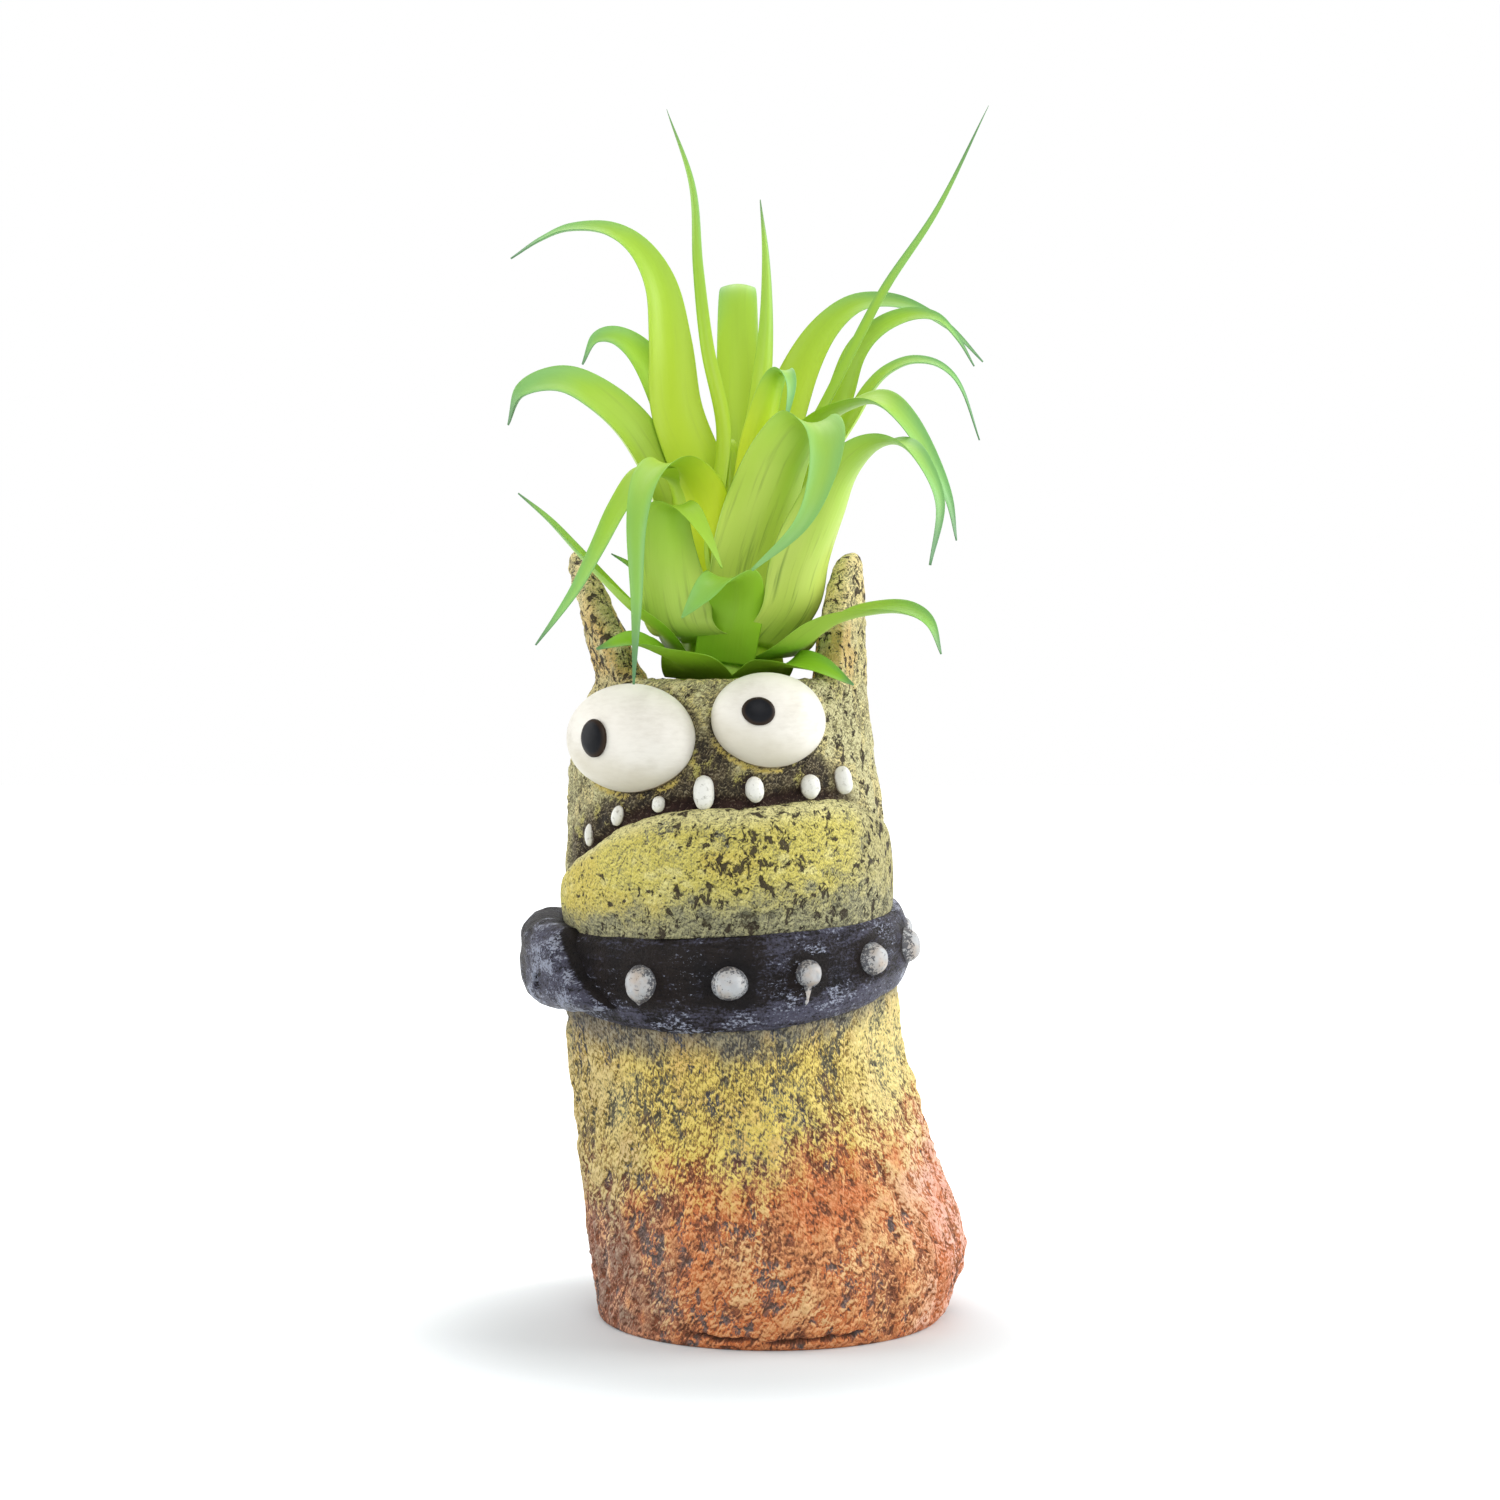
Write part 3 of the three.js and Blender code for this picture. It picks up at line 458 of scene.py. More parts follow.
def settle(piece: bpy.types.Object, finish: Material, body: Body, slot: Slot, *nodes: str) -> None:
    """Gives a piece its finish and its body, hides the solids that it stands for, and reports it.

    Args:
        piece: the piece.
        finish: its material.
        body: the body that it rides on.
        slot: its finish in the record; not used.
        nodes: the solids that it stands for.
    """
    piece.data.materials.append(finish)
    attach(piece, body.value)
    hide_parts(*nodes)
    LOG.info("%s: %d faces, rides on %s", piece.name, len(piece.data.polygons), body.value)


class Wire:
    """A shader value that takes part in Python sums; each operation on it adds a Math node."""

    def __init__(self, nodes: "Nodes", socket: bpy.types.NodeSocket) -> None:
        """Wraps an output socket of one of the nodes."""
        self.nodes, self.socket = nodes, socket

    def _math(self, operation: str, first: Any, second: Any) -> "Wire":
        """A Math node on two values."""
        return self.nodes.node("ShaderNodeMath", {"operation": operation}, {0: first, 1: second})

    def __add__(self, other: Any) -> "Wire":
        """The sum of two values."""
        return self._math("ADD", self, other)

    def __radd__(self, other: Any) -> "Wire":
        """The sum of two values."""
        return self._math("ADD", other, self)

    def __sub__(self, other: Any) -> "Wire":
        """The difference of two values."""
        return self._math("SUBTRACT", self, other)

    def __rsub__(self, other: Any) -> "Wire":
        """The difference of two values."""
        return self._math("SUBTRACT", other, self)

    def __mul__(self, other: Any) -> "Wire":
        """The product of two values."""
        return self._math("MULTIPLY", self, other)

    def __rmul__(self, other: Any) -> "Wire":
        """The product of two values."""
        return self._math("MULTIPLY", other, self)

    def top(self, other: Any) -> "Wire":
        """The larger of two values."""
        return self._math("MAXIMUM", self, other)

    def ease(self, low: float, high: float) -> "Wire":
        """A smooth step that is 0 at low and 1 at high."""
        settings = {"interpolation_type": "SMOOTHSTEP"}
        return self.nodes.node("ShaderNodeMapRange", settings, {0: self, 1: low, 2: high})


class Nodes:
    """The node tree of a material or a world."""

    def __init__(self, tree: bpy.types.NodeTree) -> None:
        """Takes the tree that nodes are added to."""
        self.tree = tree

    def node(self, kind: str, settings: dict[str, Any], sockets: dict[Any, Any], output: Any = 0) -> Wire:
        """Adds a node.

        Args:
            kind: the node's type.
            settings: its properties, such as a Math node's operation, which are set first.
            sockets: values or wires for its inputs, by name or number.
            output: which output to hand back.

        Returns:
            That output.
        """
        made = self.tree.nodes.new(kind)
        for key, value in settings.items():
            setattr(made, key, value)
        self.feed(made, sockets)
        return Wire(self, made.outputs[output])

    def feed(self, node: bpy.types.Node, sockets: dict[Any, Any]) -> None:
        """Sets or links a node's inputs.

        Args:
            node: the node.
            sockets: values or wires by name or number; a colour may leave out its alpha.
        """
        for key, value in sockets.items():
            socket = node.inputs[key]
            if isinstance(value, Wire):
                self.tree.links.new(value.socket, socket)
            elif isinstance(value, tuple) and len(value) == 3 and socket.type == "RGBA":
                socket.default_value = (*value, 1)
            else:
                socket.default_value = value

    def seen(self) -> Wire:
        """1 where a ray comes from the camera, a reflection or through glass, and 0 elsewhere."""
        camera, glossy, through = (self.node("ShaderNodeLightPath", {}, {}, f"Is {kind} Ray")
                                   for kind in ("Camera", "Glossy", "Transmission"))
        return camera.top(glossy).top(through)


class Recipe(Nodes):
    """A material's nodes, with a Principled shader at the end."""

    def __init__(self, name: str) -> None:
        """Starts a material.

        Args:
            name: the material's name.
        """
        self.material = bpy.data.materials.new(name)
        self.material.use_nodes = True
        super().__init__(self.material.node_tree)
        self.shader = self.tree.nodes["Principled BSDF"]

    def place(self, stretch: Point = (1, 1, 1)) -> Wire:
        """The piece's own coordinates in metres, stretched along each axis."""
        spot = self.node("ShaderNodeTexCoord", {}, {}, "Object")
        return spot if stretch == (1, 1, 1) else self.scaled(spot, stretch)

    def scaled(self, vector: Wire, stretch: Point) -> Wire:
        """A vector multiplied axis by axis."""
        return self.node("ShaderNodeVectorMath", {"operation": "MULTIPLY"}, {0: vector, 1: stretch})

    def moved(self, vector: Wire, step: Point, share: float = 1) -> Wire:
        """A vector moved by a share of a step."""
        by = tuple(share * along for along in step)
        return self.node("ShaderNodeVectorMath", {"operation": "ADD"}, {0: vector, 1: by})

    def lane(self, name: str, output: str = "Fac") -> Wire:
        """A named value that the mesh carries: output is Fac, Color or Vector."""
        return self.node("ShaderNodeAttribute", {"attribute_name": name}, {}, output)

    def noise(self, at: Wire, scale: float, detail: float = 3, rough: float = 0.55, twist: float = 0) -> Wire:
        """Smooth noise round 0, mostly from -0.5 to 0.5; a twist curls it."""
        sockets = {"Vector": at, "Scale": scale, "Detail": detail, "Roughness": rough, "Distortion": twist}
        return self.node("ShaderNodeTexNoise", {}, sockets) - 0.5

    def dots(self, vector: Wire, scale: float) -> Wire:
        """Distance to the nearest of scattered points, in cells."""
        return self.node("ShaderNodeTexVoronoi", {}, {"Vector": vector, "Scale": scale})

    def mix(self, first: Any, second: Any, share: Any) -> Wire:
        """A colour between two colours."""
        return self.node("ShaderNodeMix", {"data_type": "RGBA"}, {0: share, 6: first, 7: second}, 2)

    def bump(self, height: Wire, depth: float, strength: float = 1) -> Wire:
        """A normal from a height of which 1 is a depth in millimetres."""
        sockets = {"Height": height, "Distance": depth * MM, "Strength": strength}
        return self.node("ShaderNodeBump", {}, sockets)

    def done(self, **sockets: Any) -> Material:
        """Feeds the shader; a socket's spaces are written as underscores."""
        self.feed(self.shader, {key.replace("_", " "): value for key, value in sockets.items()})
        return self.material


@dataclass(frozen=True)
class ClayPaint:
    """Dry-brushed clay: a wash in the hollows, a coat over it, a paler one on the ridges, and ragged holes.

    Each place named at is a pair of heights: where a coat starts, and where it covers fully.
    """

    name: str = "dry brushed clay"
    grain: float = 1.65
    fine: float = 4.0
    hole: float = 0.6
    prick: float = 2.7
    # step points up and a little towards -X: the side that the painted light on the grains' edges comes from
    step: Point = (-0.1, 0, 0.23)
    fine_step: float = 0.4
    spread: float = 9
    pit: Colour = tint("33291d")
    lift: Point = (1.25, 1.3, 1.4)
    chalk: Colour = tint("fff4d0")
    middle_at: Span = (-1.1, -0.3)
    crest_at: Span = (-0.2, 0.65)
    pit_at: Span = (-0.6, -1.8)
    ridge_at: Span = (0.5, 1.5)
    hole_at: Span = (1.1, 1.7)
    hole_depth: float = 3
    depth: float = 0.11

    def make(self) -> Material:
        """Makes the paint: curled grains on the carried relief, lifted where paint covers, pick the colour.

        Brushed paint catches the grains' edges, and light from above is painted in: the upper edges are
        lighter as a painted highlight and the undersides darker as painted shade. An edge is the difference
        of the grains here and a little higher up.

        Returns:
            The material.
        """
        r = Recipe(self.name)
        lay, cover, grit = r.lane("lay", "Vector"), r.lane("cover"), r.lane("grit")
        above, beside = r.moved(lay, self.step), r.moved(lay, self.step, self.fine_step)
        grains, higher = (r.noise(spot, self.grain, 2, 0.55, 0.7) * self.spread for spot in (lay, above))
        fine, finer = (r.noise(spot, self.fine, 2, 0.6) * self.spread for spot in (lay, beside))
        ragged, prick = (r.noise(lay, self.hole * k, 3, 0.66, 0.5) * self.spread for k in (1, self.prick))
        relief = (grains * 0.66 + fine * 0.27) * grit + r.lane("relief") * 0.45
        # Painted light: edge is above 0 on the grains' upper edges and below 0 under them
        edge = (grains - higher + (fine - finer) * 0.5) * grit
        height = relief + cover
        low, middle, high = (r.lane(coat, "Color") for coat in ("low", "middle", "high"))
        crest = (height + edge * 0.6).ease(*self.crest_at)
        colour = r.mix(low, middle, height.ease(*self.middle_at))
        colour = r.mix(colour, high, crest)
        # Pit colour in the hollows, and through edge under each grain as painted shade
        colour = r.mix(colour, self.pit, (height * 0.6 + edge).ease(*self.pit_at) * 0.6)
        # Ridges take a paler coat, partly dry-brush and partly a painted highlight on their upper edges
        ridge = r.mix(r.scaled(high, self.lift), self.chalk, 0.12)
        colour = r.mix(colour, ridge, (relief * 0.5 + edge + cover * 0.3).ease(*self.ridge_at) * 0.8)
        open_at = r.lane("holes")
        holes = (ragged + open_at).top(prick + open_at * 0.8 - 0.5).ease(*self.hole_at)
        colour = r.mix(colour, self.pit, holes * 0.95)
        return r.done(Base_Color=colour, Roughness=0.86 - 0.16 * crest, Specular_IOR_Level=0.3,
                      Normal=r.bump(relief - holes * self.hole_depth, self.depth))


@dataclass(frozen=True)
class EyePaint:
    """Hand-brushed off-white, darker and yellower where the eye meets the clay, and a darker cream on its
    lower side as painted shade.
    """

    name: str = "brushed eye white"
    white: Colour = tint("f3eee3")
    stroke: Colour = tint("d9d2c4")
    under: Colour = tint("cdc3a6")
    seam: Colour = tint("6f5626")
    level: Point = (0.35, 0.35, 1)
    depth: float = 0.04

    def make(self) -> Material:
        """Makes the paint: faint level brush strokes, and a stained line at the seam.

        Returns:
            The material.
        """
        r = Recipe(self.name)
        strokes = r.noise(r.place(self.level), 1500, 3, 0.6)
        cloud = r.noise(r.place(), 160, 2)
        colour = r.mix(self.white, self.stroke, (strokes * 0.8 + cloud * 1.2 + 0.25).ease(0, 1))
        # Painted shade: the lower side of the eye is mixed towards a darker cream
        colour = r.mix(colour, self.under, (r.lane("under") + cloud * 0.5).ease(0, 1) * 0.5)
        stain = (r.lane("edge") + strokes * 0.6).ease(0.45, 0.9)
        colour = r.mix(colour, self.seam, stain * 0.9)
        return r.done(Base_Color=colour, Roughness=0.42 + 0.25 * strokes, Specular_IOR_Level=0.4,
                      Normal=r.bump(strokes, self.depth))


@dataclass(frozen=True)
class PupilPaint:
    """Glossy black with a brown rim."""

    name: str = "gloss pupil black"
    black: Colour = tint("0c0d11")
    sheen: Colour = tint("17181d")
    rim: Colour = tint("3a2a1c")
    depth: float = 0.05

    def make(self) -> Material:
        """Makes the paint: a black that pales to blue in soft patches, browner at the rim.

        Returns:
            The material.
        """
        r = Recipe(self.name)
        cloud = r.noise(r.place(), 700, 3)
        colour = r.mix(self.black, self.sheen, (cloud + 0.3).ease(0, 0.9))
        colour = r.mix(colour, self.rim, r.lane("edge").ease(0.7, 1) * 0.7)
        return r.done(Base_Color=colour, Roughness=0.4 + 0.3 * cloud, Specular_IOR_Level=0.12,
                      Normal=r.bump(cloud, self.depth))


@dataclass(frozen=True)
class ToothPaint:
    """White pegs with grey-brown mottling, darker at the gum: a brown stain and painted shade where the tooth
    meets the clay.
    """

    name: str = "mottled tooth white"
    white: Colour = tint("efeee6")
    spot: Colour = tint("8f8a78")
    gum: Colour = tint("5a4326")
    depth: float = 0.12

    def make(self) -> Material:
        """Makes the paint: small mottles by noise, and a stain and painted shade by the carried edge.

        Returns:
            The material.
        """
        r = Recipe(self.name)
        mottle = r.noise(r.place(), 1500, 3, 0.65)
        colour = r.mix(self.white, self.spot, (mottle * 2 + 0.05).ease(0.1, 0.75))
        # Brown at the gum: a stain and painted shade where the tooth meets the clay
        colour = r.mix(colour, self.gum, (r.lane("edge") + mottle).ease(0.4, 1.1) * 0.85)
        return r.done(Base_Color=colour, Roughness=0.55 + 0.3 * mottle, Specular_IOR_Level=0.35,
                      Normal=r.bump(mottle, self.depth))


@dataclass(frozen=True)
class CollarPaint:
    """A brown-black strap, dry-brushed with blue grey along its length."""

    name: str = "dry brushed collar"
    black: Colour = tint("110e11")
    brown: Colour = tint("2c2421")
    veil: Colour = tint("6c6c82")
    fleck: Colour = tint("c8cee2")
    streak: Point = (0.2, 1, 1)
    line: Point = (0.42, 1, 1)
    spread: float = 6
    depth: float = 0.2

    def make(self) -> Material:
        """Makes the paint: a veil on the brushed parts, pale lines in clusters and black creases.

        Returns:
            The material.
        """
        r = Recipe(self.name)
        lay = r.lane("lay", "Vector")
        streaks = r.noise(r.scaled(lay, self.streak), 0.9, 4, 0.62, 0.3) * self.spread
        lines = r.noise(r.scaled(lay, self.line), 2.9, 4, 0.7, 0.6) * self.spread
        grains = r.noise(r.place(), 1900, 3, 0.68, 0.5) * self.spread
        relief, brushed = r.lane("relief"), r.lane("brushed")
        colour = r.mix(self.black, self.brown, (r.noise(r.place(), 120, 2) * 2 + 0.5).ease(0, 1))
        height = relief * 0.5 + streaks * 0.7 + lines * 0.8 + grains * 0.7
        colour = r.mix(colour, self.veil, (height + brushed * 1.5).ease(-0.6, 1.6) * 0.76)
        colour = r.mix(colour, self.black, height.ease(-0.3, -1.4) * 0.9)
        pale = streaks * 0.6 + lines * 1.2 + grains * 0.7 + r.lane("flecks") * 1.2 + brushed * 0.5
        colour = r.mix(colour, self.fleck, pale.ease(0.8, 1.6) * 0.85)
        return r.done(Base_Color=colour, Roughness=0.4 + 0.04 * grains, Specular_IOR_Level=0.16,
                      Normal=r.bump(height, self.depth))


@dataclass(frozen=True)
class StudPaint:
    """Silver-grey paint that leaves dark specks, and a dark foot that is partly specks and partly painted
    shade where the stud meets the strap.
    """

    name: str = "silver grey stud"
    grey: Colour = tint("b4b6b8")
    warm: Colour = tint("b9a38c")
    speck: Colour = tint("3f4047")
    metal: float = 0.1
    depth: float = 0.12

    def make(self) -> Material:
        """Makes the paint: warm and cool clouds, specks by fine noise, more of them towards the foot as
        painted shade.

        Returns:
            The material.
        """
        r = Recipe(self.name)
        cloud = r.noise(r.place(), 420, 2)
        fine = r.noise(r.place(), 2000, 3, 0.7)
        colour = r.mix(self.grey, self.warm, (cloud * 2.2 + 0.3).ease(0, 1) * 0.7)
        # The carried edge adds specks at the foot: painted shade where the stud meets the strap
        specks = fine * 4.2 + cloud + r.lane("edge") * 0.85 - 0.08
        colour = r.mix(colour, self.speck, specks.ease(0.3, 0.75) * 0.9)
        return r.done(Base_Color=colour, Roughness=0.5 + 0.4 * fine, Specular_IOR_Level=0.5,
                      Normal=r.bump(fine, self.depth), Metallic=self.metal)


@dataclass(frozen=True)
class FoamFinish:
    """Dry grey planting foam with open pores."""

    name: str = "dry planting foam"
    face: Colour = tint("6b6656")
    pore: Colour = tint("2b2820")
    depth: float = 0.4

    def make(self) -> Material:
        """Makes the foam: pores by distance to scattered points, over a cloudy ground.

        Returns:
            The material.
        """
        r = Recipe(self.name)
        cell = r.dots(r.place(), 1100)
        cloud = r.noise(r.place(), 250, 3)
        colour = r.mix(self.pore, self.face, (cell + cloud * 0.5).ease(0.12, 0.5))
        return r.done(Base_Color=colour, Roughness=0.95 + 0.05 * cloud, Specular_IOR_Level=0.15,
                      Normal=r.bump(cell, self.depth, 0.8))


@dataclass(frozen=True)
class LeafFinish:
    """Satin leaves: pale veined feet, lime blades, blue-green margins and dark tips."""

    name: str = "satin leaf"
    foot: Colour = tint("c6da6a")
    lime: Colour = tint("a4cc3c")
    deep: Colour = tint("80b81c")
    glow: Colour = tint("d6e42c")
    cool: Colour = tint("80c07a")
    tip: Colour = tint("56805c")
    shade: Colour = tint("5f9a52")
    vein: Colour = tint("8aa345")
    drawn: Point = (1, 0.05, 1)
    clouded: Point = (1, 0.4, 1)
    depth: float = 0.18

    def make(self) -> Material:
        """Makes the leaf: carried places along and across a blade pick the colours, streaks make the veins.

        Returns:
            The material.
        """
        r = Recipe(self.name)
        along, aside = r.lane("along"), r.lane("aside")
        lay = r.lane("lay", "Vector")
        streaks = r.noise(r.scaled(lay, self.drawn), 1.0, 3, 0.62)
        cloud = r.noise(r.scaled(lay, self.clouded), 0.16, 2)
        margin = aside * aside
        bare = (along + cloud * 0.35).ease(0.62, 0.1) * r.lane("bare")
        colour = r.mix(self.lime, self.deep, r.lane("deep"))
        colour = r.mix(colour, self.foot, bare)
        colour = r.mix(colour, self.glow, r.lane("glow"))
        cool = (along * 0.85 + margin * 0.15 + cloud * 0.4).ease(0.42, 0.85) * r.lane("cool")
        colour = r.mix(colour, self.cool, cool)
        colour = r.mix(colour, self.vein, (streaks * 2.6).ease(0.05, 0.65) * (bare * 0.85 + 0.12))
        colour = r.mix(colour, self.deep, margin.ease(0.82, 1) * 0.3)
        dry = r.lane("dry")
        colour = r.mix(colour, self.shade, aside.ease(0.2, 1) * along.ease(0.4, 0.9) * dry * 0.7)
        colour = r.mix(colour, self.tip, (along + cloud * 0.1).ease(0.84, 1.0) * dry)
        return r.done(Base_Color=colour, Roughness=0.46 + 0.2 * streaks, Specular_IOR_Level=0.35,
                      Normal=r.bump(streaks, self.depth, 0.4))


@dataclass(frozen=True)
class Knob:
    """A rounded thing on the head: its turn, drop below the rim, radii, tilt and how far out it stands."""

    turn: float
    drop: float
    radii: Point
    tilt: float
    stand: float

    def frame(self) -> tuple[Array, Array]:
        """Its middle and its axes on the head."""
        return FORM.axes(self.turn, FORM.rim - self.drop, self.stand, self.tilt)

    def depth_of(self, points: Array) -> Array:
        """How far out points are, in its radii: 1 on its face."""
        middle, axes = self.frame()
        return np.linalg.norm((points - middle) @ axes.T / np.array(self.radii), axis=-1)


@dataclass(frozen=True)
class Eye(Knob):
    """A flattened ball with its pupil: the pupil's radii, and where it aims aside and up in degrees."""

    name: str
    pupil: Span
    aim: float
    lift: float


EYES = (
    Eye(-34.5, 9.8, (12.3, 9.1, 7.3), 0, 0.8, "large", (2.8, 3.2), -10, 0),
    Eye(17, 6.8, (9.8, 7.9, 6.4), -6, 0.8, "small", (2.75, 2.35), -22, 8),
)
TEETH = (
    Knob(-54.5, 26.4, (0.65, 1.9, 0.9), 0, 0.4),
    Knob(-39, 22.9, (0.95, 1.7, 1.2), -12, 0.6),
    Knob(-22.3, 20.8, (1.05, 1.35, 1.4), -8, 0.6),
    Knob(-6, 18.8, (1.75, 2.8, 1.7), 2, 0.7),
    Knob(11.5, 18.3, (1.55, 2.15, 1.7), 6, 0.7),
    Knob(32.5, 17.9, (1.6, 2.05, 1.7), 4, 0.7),
    Knob(48, 17, (1.5, 2.4, 1.7), 14, 0.7),
)


@dataclass(frozen=True)
class Crease:
    """A crease pressed into the clay along a line of turns and heights, which fades out at both ends."""

    turns: tuple[float, ...]
    heights: tuple[float, ...]
    depth: float
    half: float
    fade: float = 3

    def press(self, turn: Array, height: Array, ragged: Array) -> Array:
        """How deep the clay is pressed.

        Args:
            turn: turn of each point.
            height: height of each point.
            ragged: how far the line wanders there.

        Returns:
            A bell across the line, eased at both ends.
        """
        first, last = self.turns[0], self.turns[-1]
        line = smooth_along(self.turns, self.heights, turn)
        starts = ease(turn, first - self.fade, first + self.fade)
        ends = starts * ease(turn, last + self.fade, last - self.fade)
        return self.depth * ends * np.exp(-(((height - line + ragged) / self.half) ** 2))


@dataclass
class Coats:
    """Three coats of paint, from the ridges' to the hollows', and how far the upper ones cover."""

    high: Array
    middle: Array
    low: Array
    cover: Array

    def over(self, colours: tuple[Any, Any, Any], shares: tuple[Array, Array, Array]) -> None:
        """Paints the high, middle and low coats over with a colour each, by a share for each point."""
        for coat, colour, share in zip(("high", "middle", "low"), colours, shares):
            setattr(self, coat, blend(getattr(self, coat), colour, share))

    def lanes(self, **others: Array) -> Lane:
        """The coats as lanes of a mesh, with other lanes beside them."""
        colours = {coat: opaque(getattr(self, coat)) for coat in ("high", "middle", "low")}
        return {**colours, "cover": self.cover, **others}


class Marks:
    """Places on the pot's shell, and the noise that its paint follows there."""

    WIDE = 15
    PATCH = (6, 6, 8)
    FLECK = (2.5, 2.5, 3.4)
    SPECK = 0.9
    STROKE = (13, 3.8)
    BEHIND = (130, 165)

    def __init__(self, grid: Array, turn: Array, skin: Array) -> None:
        """Works out the noise, from wide clouds down to specks.

        Args:
            grid: the plain shell.
            turn: turn of each point.
            skin: the shell's lane.
        """
        self.grid, self.turn, self.skin = grid, turn, skin
        self.height = grid[..., 2]
        self.rise = self.height - FORM.lip(turn)
        self.sine = np.sin(np.radians(turn))
        self.wide = Grain.rough(grid / self.WIDE, 3, 71)
        self.patch = Grain.rough(grid / self.PATCH, 3, 83)
        self.fleck = Grain.rough(grid / self.FLECK, 3, 97)
        self.speck = Grain.rough(grid / self.SPECK, 2, 103)
        self.stroke = self.strokes()
        # right and left: 1 towards the heel's side and the strap end's side, where painted light and painted
        # shade go
        self.right = ease(self.sine + 0.25 * self.patch, 0.3, 0.9)
        self.left = ease(-self.sine + 0.3 * self.patch, 0.3, 0.95)

    def strokes(self) -> Array:
        """Brush strokes that climb to the right.

        Returns:
            Noise from -1 to 1, drawn out along the slant; flecks take over at the back, where the turns meet.
        """
        along = np.radians(self.turn) * FORM.mean_radius
        length, width = self.STROKE
        slanted = np.stack([(along + self.height) / length, (self.height - along) / width, 0 * along], -1)
        behind = ease(np.abs(self.turn), *self.BEHIND)
        return Grain.rough(slanted, 3, 107) * (1 - behind) + self.fleck * behind


